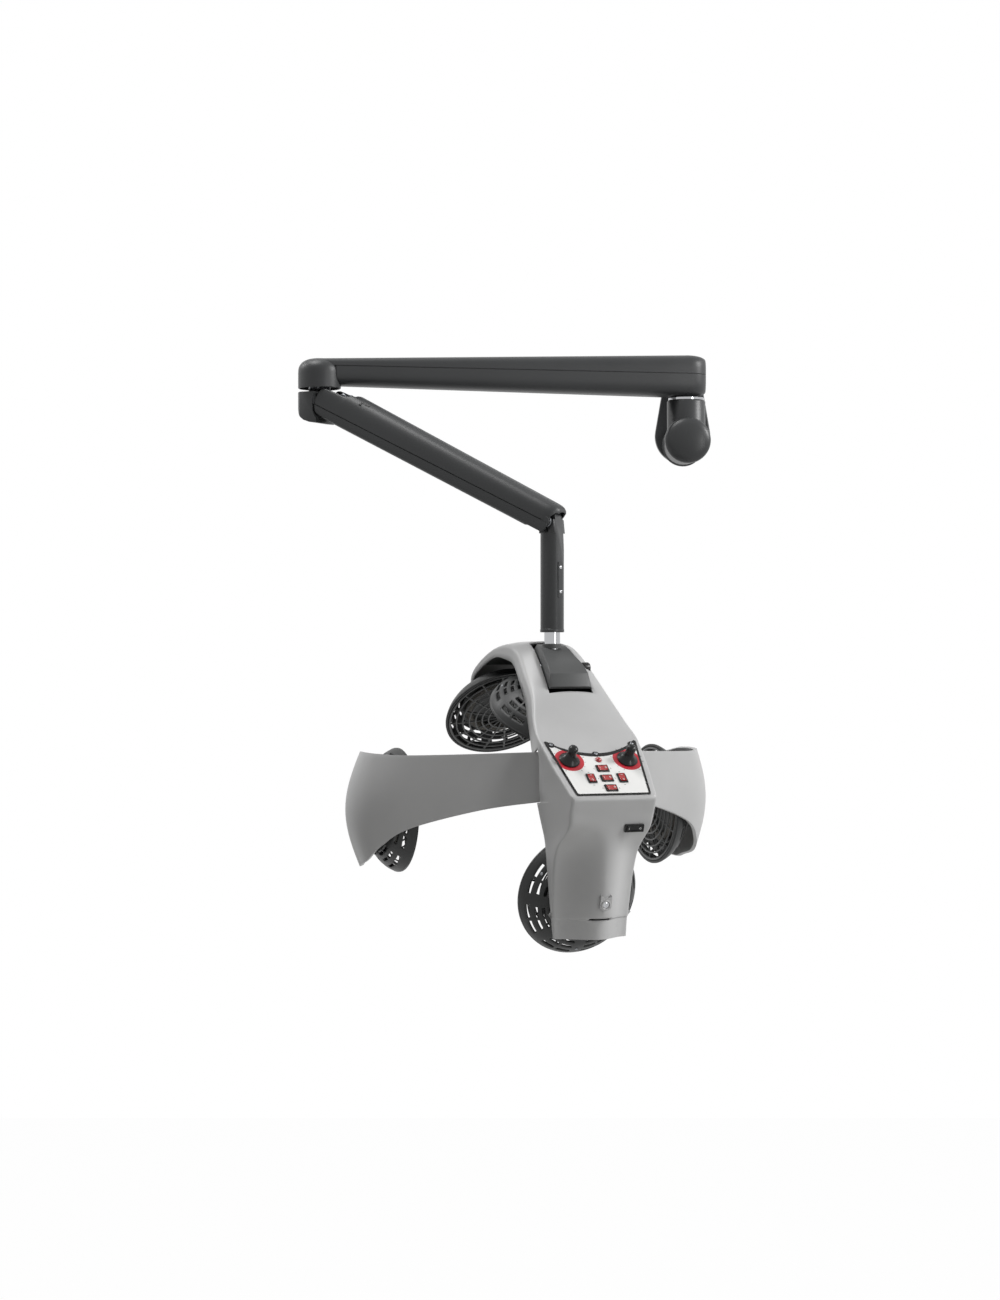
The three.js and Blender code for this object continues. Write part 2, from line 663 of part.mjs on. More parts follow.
function lowerCoverHalf(heightAtElbow, heightAtStem, start, end, wall, endShape) {
  const side = Math.sign(heightAtElbow);
  const squareness = side > 0 ? 2.9 : 5;
  const from = wall > 0 ? -side * 2 : (side * GAP) / 2;
  const section = (x, rise, width) => {
    const height = lerp(heightAtElbow, heightAtStem, (x - start) / (end - start));
    const halfWidth = LOWER_ARM_HALF_WIDTH * width - wall;
    return halfSection(x, halfWidth, from, height * rise - side * wall, squareness);
  };
  const body = [0, 0.5].map((share) => section(lerp(start, end, share), 1, 1));
  const tip = endShape.map(([back, rise, width]) => section(end - back * VISOR_LENGTH, rise, width));
  return loft([...body, ...tip]);
}

// Room for the elbow: rounds both covers off around the tilt pin and opens the top between them.
function elbowCut() {
  const far = LOWER_ARM_TOP + 20;
  const width = LOWER_ARM_HALF_WIDTH + 1;
  const roundEnd = polygon([
    [-far, LOWER_ARM_CHEEK_TOP],
    [-far, -far],
    [16, -far],
    [12, -LOWER_ARM_BOTTOM - 1.2],
    [4, -13.5],
    [-4, -9],
    [-8.2, -3],
    [-LOWER_ARM_POINT + 0.5, 3],
    [-LOWER_ARM_POINT, 12],
    [-LOWER_ARM_POINT + 1.5, LOWER_ARM_CHEEK_TOP],
  ]);
  const slot = block(
    v3(-far, -LOWER_ARM_SLOT_HALF_WIDTH, 0),
    v3(LOWER_ARM_CHEEK_LENGTH, LOWER_ARM_SLOT_HALF_WIDTH, far),
  );
  const shoulderLine = polygon([
    [-far, LOWER_ARM_CHEEK_TOP],
    [-LOWER_ARM_POINT, LOWER_ARM_CHEEK_TOP],
    [0.75 * LOWER_ARM_CHEEK_LENGTH, LOWER_ARM_CHEEK_TOP + 2],
    [0.88 * LOWER_ARM_CHEEK_LENGTH, LOWER_ARM_TOP - 3.5],
    [LOWER_ARM_CHEEK_LENGTH, LOWER_ARM_TOP - 3],
    [LOWER_ARM_CHEEK_LENGTH, far],
    [-far, far],
  ]);
  return joined(sideSlab(roundEnd, -width, width), slot, sideSlab(shoulderLine, -width, width));
}

function lowerCoverTop() {
  const start = -LOWER_ARM_POINT - 1;
  const end = LOWER_ARM_LENGTH + LOWER_ARM_OVERHANG;
  const heights = [LOWER_ARM_TOP, LOWER_ARM_TOP_AT_STEM];
  const outer = lowerCoverHalf(...heights, start, end, 0, VISOR_SHAPE);
  const inner = lowerCoverHalf(...heights, start - 2, end - COVER_WALL, COVER_WALL, VISOR_SHAPE);
  const half = LOWER_ARM_HALF_WIDTH - COVER_WALL;
  const mouth = block(v3(LOWER_ARM_LENGTH - 4, -half, -1), v3(end + 1, half, MOUTH_TOP));
  const pastLugs = block(
    v3(LOWER_ARM_LENGTH + LOWER_ARM_LUG, -LOWER_ARM_HALF_WIDTH - 1, -1),
    v3(end + 1, LOWER_ARM_HALF_WIDTH + 1, MOUTH_TOP),
  );
  return cut(outer, inner, elbowCut(), mouth, pastLugs);
}

function lowerCoverBottom() {
  const start = -LOWER_ARM_POINT - 1;
  const end = LOWER_ARM_LENGTH + LOWER_ARM_LUG;
  const heights = [-LOWER_ARM_BOTTOM, -LOWER_ARM_BOTTOM_AT_STEM];
  const outer = lowerCoverHalf(...heights, start, end, 0, SQUARE_END);
  const inner = lowerCoverHalf(...heights, start - 2, end + 2, COVER_WALL, SQUARE_END);
  const half = LOWER_ARM_HALF_WIDTH - COVER_WALL;
  const low = -LOWER_ARM_BOTTOM_AT_STEM - 3;
  const chamfer = sideSlab(
    polygon([[end - 7, low], [end + 1, low], [end + 1, -8]]),
    -LOWER_ARM_HALF_WIDTH - 1,
    LOWER_ARM_HALF_WIDTH + 1,
  );
  const stemRoom = block(
    v3(LOWER_ARM_LENGTH - STEM_RADIUS - 14, -half, -LOWER_ARM_BOTTOM_AT_STEM - 2),
    v3(end + 3, half, 0),
  );
  const elbowRoom = block(
    v3(-LOWER_ARM_POINT - 3, -half, -LOWER_ARM_BOTTOM - 2),
    v3(KNUCKLE_HEIGHT - TILT_DROP + 6, half, 0),
  );
  return cut(outer, inner, elbowCut(), stemRoom, elbowRoom, chamfer);
}

function armChannel() {
  const outer = CHANNEL_HALF_WIDTH;
  const inner = CHANNEL_HALF_WIDTH - CHANNEL_WALL;
  const plate = (low) => sideSlab(capsule(LOWER_ARM_LENGTH, CHANNEL_HALF_HEIGHT), low, low + CHANNEL_WALL);
  const web = block(
    v3(CHANNEL_WEB_START, -outer + 1, -CHANNEL_HALF_HEIGHT),
    v3(LOWER_ARM_LENGTH - CHANNEL_WEB_START, outer - 1, -CHANNEL_HALF_HEIGHT + CHANNEL_WALL),
  );
  const seat = (x) => block(
    v3(x, -SPRING_RADIUS - 1, -CHANNEL_HALF_HEIGHT + 1),
    v3(x + SPRING_SEAT, SPRING_RADIUS + 1, SPRING_RISE + SPRING_RADIUS),
  );
  const bore = (x) => rod(boreOf(TILT_PIN_RADIUS, GAP), ...across(x, 0, -outer - 1, outer + 1));
  return cut(
    joined(
      plate(inner),
      plate(-outer),
      web,
      seat(SPRING_START - SPRING_SEAT - GAP),
      seat(SPRING_START + SPRING_LENGTH + GAP),
    ),
    bore(0),
    bore(LOWER_ARM_LENGTH),
  );
}

// One unbroken wire whose coils close up at both ends.
const CURL_STEPS = 8;
const WIRE_SIDES = 5;
function balanceSpring() {
  const steps = SPRING_TURNS * CURL_STEPS;
  const middle = [];
  for (let i = 0; i <= steps; i++) {
    const angle = (2 * Math.PI * i) / CURL_STEPS;
    const along = SPRING_WIRE_RADIUS + ((SPRING_LENGTH - 2 * SPRING_WIRE_RADIUS) * i) / steps;
    middle.push(v3(along, SPRING_RADIUS * Math.cos(angle), SPRING_RADIUS * Math.sin(angle)));
  }
  const pitch = (SPRING_LENGTH - 2 * SPRING_WIRE_RADIUS) / SPRING_TURNS;
  console.log(`balance spring: least gap between curls ${(pitch - 2 * SPRING_WIRE_RADIUS).toFixed(2)} mm`);
  const loops = middle.map((point, i) => {
    const angle = (2 * Math.PI * i) / CURL_STEPS;
    const outward = v3(0, Math.cos(angle), Math.sin(angle));
    return Array.from({ length: WIRE_SIDES }, (_, k) => {
      const turn = (2 * Math.PI * k) / WIRE_SIDES;
      const shift = outward.clone().multiplyScalar(SPRING_WIRE_RADIUS * Math.cos(turn));
      return point.clone().add(shift).add(v3(SPRING_WIRE_RADIUS * Math.sin(turn), 0, 0));
    });
  });
  return loft(loops).translate([SPRING_START, 0, SPRING_RISE]);
}

const lateralPin = (x, radius) => rod(radius, ...across(x, 0, -PIN_HALF_LENGTH, PIN_HALF_LENGTH));

place(lowerArm, 'lower_arm_cover_top', lowerCoverTop(), CHARCOAL);
place(lowerArm, 'lower_arm_cover_bottom', lowerCoverBottom(), CHARCOAL);
place(lowerArm, 'lower_arm_channel', armChannel(), STEEL);
place(lowerArm, 'balance_spring', balanceSpring(), STEEL);
place(lowerArm, 'tilt_pin', lateralPin(0, TILT_PIN_RADIUS), STEEL);
place(lowerArm, 'stem_pin', lateralPin(LOWER_ARM_LENGTH, TILT_PIN_RADIUS), STEEL);

// Levelling rod, parallel to the lower arm

const rodFrame = frameOn(elbow, v3(TILT_OFFSET, 0, -TILT_DROP + ROD_RISE), 'y', LOWER_ARM_SLOPE);

function levellingRod() {
  const near = TONGUE_HALF_WIDTH + 2 * GAP;
  const bar = sideSlab(capsule(LOWER_ARM_LENGTH, ROD_HALF_HEIGHT), near, near + ROD_THICKNESS);
  const stub = (x) => rod(ROD_STUB_RADIUS, ...across(x, 0, TONGUE_HALF_WIDTH - ROD_STUB_LENGTH, near + 1));
  return joined(bar, stub(0), stub(LOWER_ARM_LENGTH));
}

place(rodFrame, 'levelling_rod', levellingRod(), STEEL);

// Stem: its frame is at the stem pin, upright again

const stemFrame = frameOn(lowerArm, v3(LOWER_ARM_LENGTH, 0, 0), 'y', -LOWER_ARM_SLOPE);

function stem() {
  const round = rod(STEM_RADIUS, v3(0, 0, -STEM_LENGTH), v3(0, 0, -STEM_SHOULDER), ROUND_SIDES);
  const head = sideSlab(
    polygon([
      [-STEM_RADIUS + 1, -STEM_SHOULDER - 1],
      [STEM_RADIUS - 1, -STEM_SHOULDER - 1],
      [STEM_RADIUS - 1, 0],
      [0.36 * STEM_RADIUS, STEM_HEAD],
      [-0.36 * STEM_RADIUS, STEM_HEAD],
      [-STEM_RADIUS + 1, 0],
    ]),
    -TONGUE_HALF_WIDTH,
    TONGUE_HALF_WIDTH,
  );
  const socket = rod(
    boreOf(POST_RADIUS),
    v3(0, 0, -STEM_LENGTH - 1),
    v3(0, 0, -STEM_LENGTH + POST_SOCKET + GAP),
  );
  const pinBore = rod(boreOf(TILT_PIN_RADIUS), ...across(0, 0, -STEM_RADIUS, STEM_RADIUS));
  const stubBore = rod(
    boreOf(ROD_STUB_RADIUS),
    ...across(0, ROD_RISE, TONGUE_HALF_WIDTH - ROD_STUB_LENGTH - 1, TONGUE_HALF_WIDTH + 1),
  );
  const shoulders = block(
    v3(2, -STEM_RADIUS, -STEM_SHOULDER - 1),
    v3(STEM_RADIUS, STEM_RADIUS, SCARF_TOP),
  );
  const far = 2 * STEM_RADIUS;
  const scarf = sideSlab(
    polygon([
      [STEM_RADIUS, -SCARF_FOOT],
      [STEM_RADIUS + far, -SCARF_FOOT],
      [STEM_RADIUS + far, far],
      [STEM_RADIUS - (SCARF_FOOT + far) * Math.tan(rad(SCARF_LEAN)), far],
    ]),
    -far,
    far,
  );
  return cut(joined(round, head, shoulders), scarf, socket, pinBore, stubBore);
}

place(stemFrame, 'stem', stem(), CHARCOAL);

// Post and tilt shoe: heights from the top of the shoe

const swivel = frameOn(
  stemFrame,
  v3(0, 0, -STEM_LENGTH - POST_SHOWN),
  'z',
  HOOD_YAW - LOWER_ARM_YAW,
);

// Half width of the hood's opening around the shoe, at one place forward.
function openingHalfAt(u) {
  const share = (u + OPENING_REAR) / (OPENING_FRONT + OPENING_REAR);
  return lerp(OPENING_REAR_HALF_WIDTH, OPENING_FRONT_HALF_WIDTH, share);
}

// Sections of the shoe: forward, crown and underside.
const SHOE_SECTIONS = [
  [-SHOE_REAR, -3, -POST_FOOT - 4],
  [-SHOE_CROWN, 0, -POST_FOOT - 6],
  [-0.3 * SHOE_CROWN, -0.02 * SHOE_NOSE_DROP, -POST_FOOT - 12],
  [0.14 * SHOE_NOSE, -0.13 * SHOE_NOSE_DROP, -AXLE_DROP - 2],
  [0.44 * SHOE_NOSE, -0.4 * SHOE_NOSE_DROP, -AXLE_DROP - 11],
  [0.77 * SHOE_NOSE, -0.69 * SHOE_NOSE_DROP, -SHOE_FRONT_DROP + 6],
  [SHOE_NOSE, -SHOE_NOSE_DROP, -SHOE_FRONT_DROP + 1.5],
  [SHOE_FRONT, -SHOE_FRONT_DROP + 3, -SHOE_FRONT_DROP],
];

function shoeBody() {
  return loft(SHOE_SECTIONS.map(([u, crown, underside]) => {
    const share = (u + SHOE_REAR) / (SHOE_FRONT + SHOE_REAR);
    const top = lerp(SHOE_TOP_HALF_WIDTH, SHOE_FRONT_TOP_HALF_WIDTH, share);
    const foot = lerp(SHOE_FOOT_HALF_WIDTH, SHOE_FRONT_HALF_WIDTH, share);
    const flank = crown - Math.min(SHOE_FLANK, (crown - underside) / 2);
    const half = [[foot, underside], [foot, flank], [top, crown]];
    const outline = [...half, ...half.map(([w, z]) => [-w, z]).reverse()];
    return outline.map(([w, z]) => v3(u, w, z));
  }));
}

function tiltShoe() {
  const bossHalf = openingHalfAt(AXLE_FORWARD - SHOE_BOSS_RADIUS) - 2 * GAP;
  const boss = rod(
    SHOE_BOSS_RADIUS,
    ...across(AXLE_FORWARD, -AXLE_DROP, -bossHalf, bossHalf),
    ROUND_SIDES,
  );
  const socket = rod(boreOf(POST_RADIUS, GAP), v3(0, 0, -POST_FOOT - GAP), v3(0, 0, 1));
  const axleBore = rod(
    boreOf(AXLE_RADIUS),
    ...across(AXLE_FORWARD, -AXLE_DROP, -bossHalf - 9, bossHalf + 9),
  );
  return cut(shoeBody().add(boss), socket, axleBore);
}

place(
  swivel,
  'post',
  rod(POST_RADIUS, v3(0, 0, -POST_FOOT), v3(0, 0, POST_SHOWN + POST_SOCKET)),
  CHROME,
);
place(swivel, 'tilt_shoe', tiltShoe(), SHOE_GREY);

const EAR_INSIDE = openingHalfAt(AXLE_FORWARD);
const EAR_OUTSIDE = EAR_INSIDE + EAR_THICKNESS;

// Hood body
// Each station along the arch gives the middle of the outer face, the edge where the face meets
// the side wall with its half width, and the open rim of the side wall with its half width. Places
// are forward and height. Swell says how the face runs from edge to middle: crowned, unless nosed.

const PANEL_EDGES = [-1, PANEL_LENGTH / 2 + 2, PANEL_LENGTH + 5].map(panelPoint);
const HOOD_STATIONS = [
  { face: [-234, -88], edge: [-217, -68], half: 39, rim: [-213, -71], rimHalf: 37 },
  { face: [-205, -43], edge: [-196, -43], half: 45, rim: [-190, -49], rimHalf: 44 },
  { face: [-162, -15.5], edge: [-157, -23], half: 47, rim: [-152, -33], rimHalf: 47 },
  { face: [-105, 1.5], edge: [-103, -6], half: 47, rim: [-100, -18], rimHalf: 48 },
  { face: [-50, 4.5], edge: [-50, -1.5], half: 47, rim: [-48, -22], rimHalf: 48.5 },
  { face: [-8, 1], edge: [-12, -14], half: 48, rim: [-22, -29], rimHalf: 49.5 },
  { face: [30, -24], edge: [24, -40], half: 53, rim: [8, -50], rimHalf: 54 },
  { face: [67, -62], edge: [63, -70], half: 58, rim: [40, -79], rimHalf: 58 },
  { face: [100, -100], edge: [97, -106], half: 69.5, rim: [62, -113], rimHalf: 62 },
  { face: PANEL_EDGES[0], edge: PANEL_EDGES[0], half: 74.5, rim: [84, -147], rimHalf: 66 },
  { face: PANEL_EDGES[1], edge: PANEL_EDGES[1], half: 70, rim: [102, -180], rimHalf: 69 },
  { face: PANEL_EDGES[2], edge: PANEL_EDGES[2], half: 62, rim: [110, -212], rimHalf: 70 },
  { face: [207, -222], edge: [206, -222], half: 61.5, rim: [115, -237], rimHalf: 66.5, swell: 'nosed' },
  { face: [199, -245], edge: [196, -245], half: 60, rim: [118, -262], rimHalf: 62, swell: 'nosed' },
  { face: [192, -275], edge: [160, -273], half: 61, rim: [121, -282], rimHalf: 61, swell: 'nosed' },
  { face: [187, -307], edge: [145, -303], half: 60, rim: [123, -307], rimHalf: 60, swell: 'nosed' },
  { face: [181, -346], edge: [136, -345], half: 57.5, rim: [126, -345], rimHalf: 58, swell: 'nosed' },
  { face: [172.5, -367], edge: [133.5, -368], half: 55.3, rim: [127, -368], rimHalf: 56.2, swell: 'nosed' },
  { face: [166, -371], edge: [131.5, -372], half: 54.7, rim: [127, -372], rimHalf: 55.8, swell: 'nosed' },
  { face: [160, -397], edge: [131, -397], half: 53, rim: [128, -396], rimHalf: 54, swell: 'nosed' },
];
const SWELLS = {
  crowned: (share) => 1 - share * share,
  nosed: (share) => (1 + Math.cos(Math.PI * share)) / 2,
};

// A place on the panel's slope, as forward and height.
function panelPoint(down) {
  return [
    PANEL_FORWARD + down * Math.cos(rad(PANEL_INCLINE)),
    -PANEL_DROP - down * Math.sin(rad(PANEL_INCLINE)),
  ];
}

const between = (a, b, share) => [lerp(a[0], b[0], share), lerp(a[1], b[1], share)];

function stepFrom(a, b, distance) {
  return between(a, b, distance / Math.hypot(b[0] - a[0], b[1] - a[1]));
}

// Inward normal of the outer profile at one station.
function inward(i) {
  const before = HOOD_STATIONS[Math.max(i - 1, 0)].face;
  const after = HOOD_STATIONS[Math.min(i + 1, HOOD_STATIONS.length - 1)].face;
  const run = [after[0] - before[0], after[1] - before[1]];
  const length = Math.hypot(...run);
  return [run[1] / length, -run[0] / length];
}

const FACE_SHARES = [0, 0.3, 0.6, 0.85, 1];

function hoodLoop({ face, edge, half, rim, rimHalf, swell = 'crowned' }, corner) {
  const side = FACE_SHARES.map((share) => {
    const [u, z] = between(edge, face, SWELLS[swell](share));
    return v3(u, share * half * (share === 1 ? 0.985 : 1), z);
  });
  const low = stepFrom(edge, rim, corner);
  side.push(v3(low[0], half, low[1]), v3(rim[0], rimHalf, rim[1]));
  const mirrored = side.slice(1).map((p) => v3(p.x, -p.y, p.z));
  return [...mirrored.reverse(), ...side];
}

function hoodSkin(wall) {
  const last = HOOD_STATIONS.length - 1;
  const loops = HOOD_STATIONS.map((station, i) => {
    if (wall === 0) return hoodLoop(station, 5);
    const [nu, nz] = inward(i);
    const shrink = ([u, z]) => [u + wall * nu, z + wall * nz];
    let { face, edge } = station;
    let rim = stepFrom(station.rim, station.edge, -12);
    const next = HOOD_STATIONS[i === 0 ? 1 : last - 1];
    if (i === 0 || i === last) {
      const towards = (key, place) => stepFrom(place, next[key], wall);
      [face, edge, rim] = [towards('face', face), towards('edge', edge), towards('rim', rim)];
    }
    return hoodLoop({
      ...station,
      face: shrink(face),
      edge: shrink(edge),
      rim,
      half: station.half - wall,
      rimHalf: station.rimHalf - wall,
    }, 3);
  });
  return loft(loops);
}

// Panel outline in x down the slope and y across, taken in on all sides.
function panelOutline(inset) {
  const narrowing = (PANEL_TOP_HALF_WIDTH - PANEL_BOTTOM_HALF_WIDTH) / PANEL_LENGTH;
  const halfAt = (down) => PANEL_TOP_HALF_WIDTH - narrowing * down - inset;
  const top = 2 * inset; // the hollow edge runs aslant at its ends
  const bottom = PANEL_LENGTH - inset;
  const shape = new THREE.Shape();
  shape.moveTo(bottom, -halfAt(bottom));
  shape.lineTo(bottom, halfAt(bottom));
  shape.lineTo(top, halfAt(top));
  shape.quadraticCurveTo(2 * PANEL_DIP + top, 0, top, -halfAt(top));
  return shape;
}

const onPanel = (manifold) => manifold
  .rotate([0, PANEL_INCLINE, 0])
  .translate([PANEL_FORWARD, 0, -PANEL_DROP]);
const PANEL_WINDOW_INSET = 6;
const MAIN_SWITCH_FORWARD = 199;
const onFront = (manifold) => manifold
  .rotate([0, MAIN_SWITCH_LEAN, 0])
  .translate([MAIN_SWITCH_FORWARD, MAIN_SWITCH_SIDE, -MAIN_SWITCH_DROP]);

function ear(side) {
  const plate = sideSlab(
    polygon([
      [AXLE_FORWARD - EAR_RADIUS, -AXLE_DROP],
      [AXLE_FORWARD - EAR_RADIUS - 4, -EAR_DROP],
      [AXLE_FORWARD + EAR_RADIUS + 10, -EAR_DROP - 22],
      [AXLE_FORWARD + EAR_RADIUS, -AXLE_DROP],
    ]),
    Math.min(side * EAR_INSIDE, side * EAR_OUTSIDE),
    Math.max(side * EAR_INSIDE, side * EAR_OUTSIDE),
  );
  const eye = rod(
    EAR_RADIUS,
    ...across(AXLE_FORWARD, -AXLE_DROP, side * EAR_INSIDE, side * EAR_OUTSIDE),
    ROUND_SIDES,
  );
  return plate.add(eye);
}

function wingLugs(side) {
  const inner = side * (WING_PIN_SIDE - WING_BARREL_RADIUS - 1);
  const shelf = (low, wall) => block(
    v3(WING_PIN_FORWARD - WING_BARREL_RADIUS - 1, Math.min(inner, side * wall), low),
    v3(WING_PIN_FORWARD + WING_BARREL_RADIUS + 8, Math.max(inner, side * wall), low + WING_LUG),
  );
  return joined(
    shelf(WING_ROOT_TOP + GAP, HOOD_STATIONS[9].half - HOOD_WALL - 1),
    shelf(WING_ROOT_BOTTOM - GAP - WING_LUG, HOOD_STATIONS[12].rimHalf + 1),
  );
}

function wingNotch(side) {
  const wall = HOOD_STATIONS[10].half;
  return block(
    v3(WING_PIN_FORWARD - 20, Math.min(side * (wall - 9), side * (wall + 4)), WING_ROOT_BOTTOM - 3),
    v3(WING_PIN_FORWARD + 5, Math.max(side * (wall - 9), side * (wall + 4)), WING_ROOT_TOP + 3),
  );
}

function wingPinBore(side) {
  const low = WING_ROOT_BOTTOM - 2 * WING_LUG;
  const high = WING_ROOT_TOP + 2 * WING_LUG;
  const at = (z) => v3(WING_PIN_FORWARD, side * WING_PIN_SIDE, z);
  return rod(boreOf(WING_PIN_RADIUS, GAP), at(low), at(high));
}

function hoodBody() {
  const shell = hoodSkin(0).subtract(hoodSkin(HOOD_WALL));
  const opening = slab(
    polygon([
      [-OPENING_REAR, -OPENING_REAR_HALF_WIDTH],
      [OPENING_FRONT, -OPENING_FRONT_HALF_WIDTH],
      [OPENING_FRONT, OPENING_FRONT_HALF_WIDTH],
      [-OPENING_REAR, OPENING_REAR_HALF_WIDTH],
    ]),
    -OPENING_FRONT,
    30,
  );
  const pocket = onPanel(slab(panelOutline(-GAP), -PANEL_POCKET, 20));
  const window = onPanel(slab(panelOutline(PANEL_WINDOW_INSET), -20, 20));
  const switchWindow = onFront(block(
    v3(-MAIN_SWITCH_WIDTH / 2 + 1, -MAIN_SWITCH_LENGTH / 2 + 1, -12),
    v3(MAIN_SWITCH_WIDTH / 2 - 1, MAIN_SWITCH_LENGTH / 2 - 1, 12),
  ));
  const noseSlot = block(
    v3(140, -NOSE_SLOT_HALF_WIDTH, -NOSE_SLOT_DROP - NOSE_SLOT_HEIGHT / 2),
    v3(200, NOSE_SLOT_HALF_WIDTH, -NOSE_SLOT_DROP + NOSE_SLOT_HEIGHT / 2),
  );
  const knobRoom = rod(
    TILT_KNOB_RADIUS + 3,
    ...across(AXLE_FORWARD, -AXLE_DROP, EAR_OUTSIDE, EAR_OUTSIDE + 30),
    ROUND_SIDES,
  );
  const axleBore = rod(
    boreOf(AXLE_RADIUS, GAP),
    ...across(AXLE_FORWARD, -AXLE_DROP, -EAR_OUTSIDE - 20, EAR_OUTSIDE + 20),
  );
  const carved = cut(
    joined(shell, ear(-1), ear(1)),
    opening, pocket, window, switchWindow, noseSlot, knobRoom, axleBore, wingNotch(-1), wingNotch(1),
  );
  return cut(joined(carved, wingLugs(-1), wingLugs(1)), wingPinBore(-1), wingPinBore(1));
}

const hood = frameOn(swivel, v3(0, 0, 0), 'z', 0);
place(hood, 'hood_body', hoodBody(), BODY_GREY);

// Liner: closes the arch from inside, just behind the rim

const LINER_STATIONS = [
  { at: [-150, -29], half: 42 },
  { at: [-100, -14], half: 43 },
  { at: [-48, -19.5], half: 44 },
  { at: [-22, -28], half: 45 },
  { at: [8, -47], half: 48 },
  { at: [50, -75], half: 53 },
  { at: [78, -107], half: 57 },
  { at: [98, -144], half: 42 },
  { at: [114, -180], half: 42 },
  { at: [123, -212], half: 42 },
  { at: [130, -245], half: 42 },
  { at: [134, -282], half: 34 },
  { at: [137, -312], half: 27 },
  { at: [139, -345], half: 27 },
  { at: [139, -388], half: 27 },
];

function archLiner() {
  return loft(LINER_STATIONS.map(({ at, half }, i) => {
    const before = LINER_STATIONS[Math.max(i - 1, 0)].at;
    const after = LINER_STATIONS[Math.min(i + 1, LINER_STATIONS.length - 1)].at;
    const run = v2(after[0] - before[0], after[1] - before[1]).normalize();
    const out = [at[0] - LINER_THICKNESS * run.y, at[1] + LINER_THICKNESS * run.x];
    return [
      v3(at[0], -half, at[1]),
      v3(at[0], half, at[1]),
      v3(out[0], half, out[1]),
      v3(out[0], -half, out[1]),
    ];
  }));
}

place(hood, 'arch_liner', archLiner(), LAMP_BLACK);

// Tilt axle and its lock knob

const KNOB_INSIDE = EAR_OUTSIDE + GAP;
place(
  hood,
  'tilt_axle',
  rod(
    AXLE_RADIUS,
    ...across(AXLE_FORWARD, -AXLE_DROP, -EAR_OUTSIDE, EAR_OUTSIDE),
  ),
  STEEL,
);
const tiltKnob = turned([
  [0, 0],
  [0.75 * TILT_KNOB_RADIUS, 0],
  [TILT_KNOB_RADIUS, 0.25 * TILT_KNOB_LENGTH],
  [TILT_KNOB_RADIUS, 0.85 * TILT_KNOB_LENGTH],
  [0.85 * TILT_KNOB_RADIUS, TILT_KNOB_LENGTH],
  [0, TILT_KNOB_LENGTH],
], SIDES).rotate([-90, 0, 0]).translate([AXLE_FORWARD, KNOB_INSIDE, -AXLE_DROP]);
place(hood, 'tilt_knob', tiltKnob, GLOSS_BLACK);

// Control panel: x down the slope, y across, z out of the face

const panel = frameOn(hood, v3(PANEL_FORWARD, 0, -PANEL_DROP), 'y', PANEL_INCLINE);
const PANEL_FLOOR = -PANEL_POCKET + GAP;
const SWITCHES = [
  { name: 'timer_range', down: SWITCH_DOWN[0], side: 0, upright: false },
  { name: 'left_lamp', down: SWITCH_DOWN[1], side: -SWITCH_SPREAD, upright: true },
  { name: 'top_lamp', down: SWITCH_DOWN[1], side: 0, upright: false },
  { name: 'right_lamp', down: SWITCH_DOWN[1], side: SWITCH_SPREAD, upright: true },
  { name: 'nape_lamp', down: SWITCH_DOWN[2], side: 0, upright: false },
];

// A box around one switch's centre, its long side along the slope when upright.
function switchBox({ down, side, upright }, length, width, low, high) {
  const [x, y] = upright ? [length / 2, width / 2] : [width / 2, length / 2];
  return block(v3(down - x, side - y, low), v3(down + x, side + y, high));
}

function panelPlate() {
  const plate = slab(panelOutline(PANEL_BORDER + GAP), PANEL_FLOOR, PANEL_PROUD);
  const shaftHole = (side, down, radius) => rod(
    boreOf(radius),
    v3(down, side, -PANEL_POCKET - 1),
    v3(down, side, PANEL_PROUD + 1),
  );
  const windows = SWITCHES.map((place) => switchBox(
    place,
    SWITCH_LENGTH + 2 * GAP,
    SWITCH_WIDTH + 2 * GAP,
    -PANEL_POCKET - 1,
    PANEL_PROUD + 1,
  ));
  return cut(
    plate,
    shaftHole(-KNOB_SPREAD, KNOB_DOWN, KNOB_SHAFT_RADIUS),
    shaftHole(KNOB_SPREAD, KNOB_DOWN, KNOB_SHAFT_RADIUS),
    shaftHole(0, PILOT_DOWN, PILOT_RADIUS - 1),
    ...windows,
  );
}

function panelBorder() {
  return cut(
    slab(panelOutline(0), PANEL_FLOOR, BORDER_PROUD),
    slab(panelOutline(PANEL_BORDER), -PANEL_POCKET - 1, BORDER_PROUD + 1),
  );
}

const ROCKER_FLOOR = -5;

function switchBank() {
  const base = block(
    v3(SWITCH_DOWN[0] - SWITCH_LENGTH / 2, -SWITCH_SPREAD - SWITCH_LENGTH / 2, -BANK_DEPTH - BANK_BASE),
    v3(SWITCH_DOWN[2] + SWITCH_LENGTH / 2, SWITCH_SPREAD + SWITCH_LENGTH / 2, -BANK_DEPTH),
  );
  const bodies = SWITCHES.map((place) => {
    const outside = switchBox(place, SWITCH_LENGTH, SWITCH_WIDTH, -BANK_DEPTH - 1, SWITCH_PROUD);
    const pocket = switchBox(
      place,
      SWITCH_LENGTH - 2 * SWITCH_RIM,
      SWITCH_WIDTH - 2 * SWITCH_RIM,
      ROCKER_FLOOR,
      SWITCH_PROUD + 1,
    );
    return outside.subtract(pocket);
  });
  return joined(base, ...bodies);
}

// A rocker cap in its own frame: x across the hinge, y along it, z out of the face.
function rockerCap(length, width, top) {
  const half = length / 2;
  const side = polygon([
    [-half, 0],
    [-0.45 * half, ROCKER_FLOOR + 1],
    [0.45 * half, ROCKER_FLOOR + 1],
    [half, 0],
    [half, top + 0.6],
    [0, top - 0.6],
    [-half, top + 0.6],
  ]);
  return sideSlab(side, -width / 2, width / 2);
}

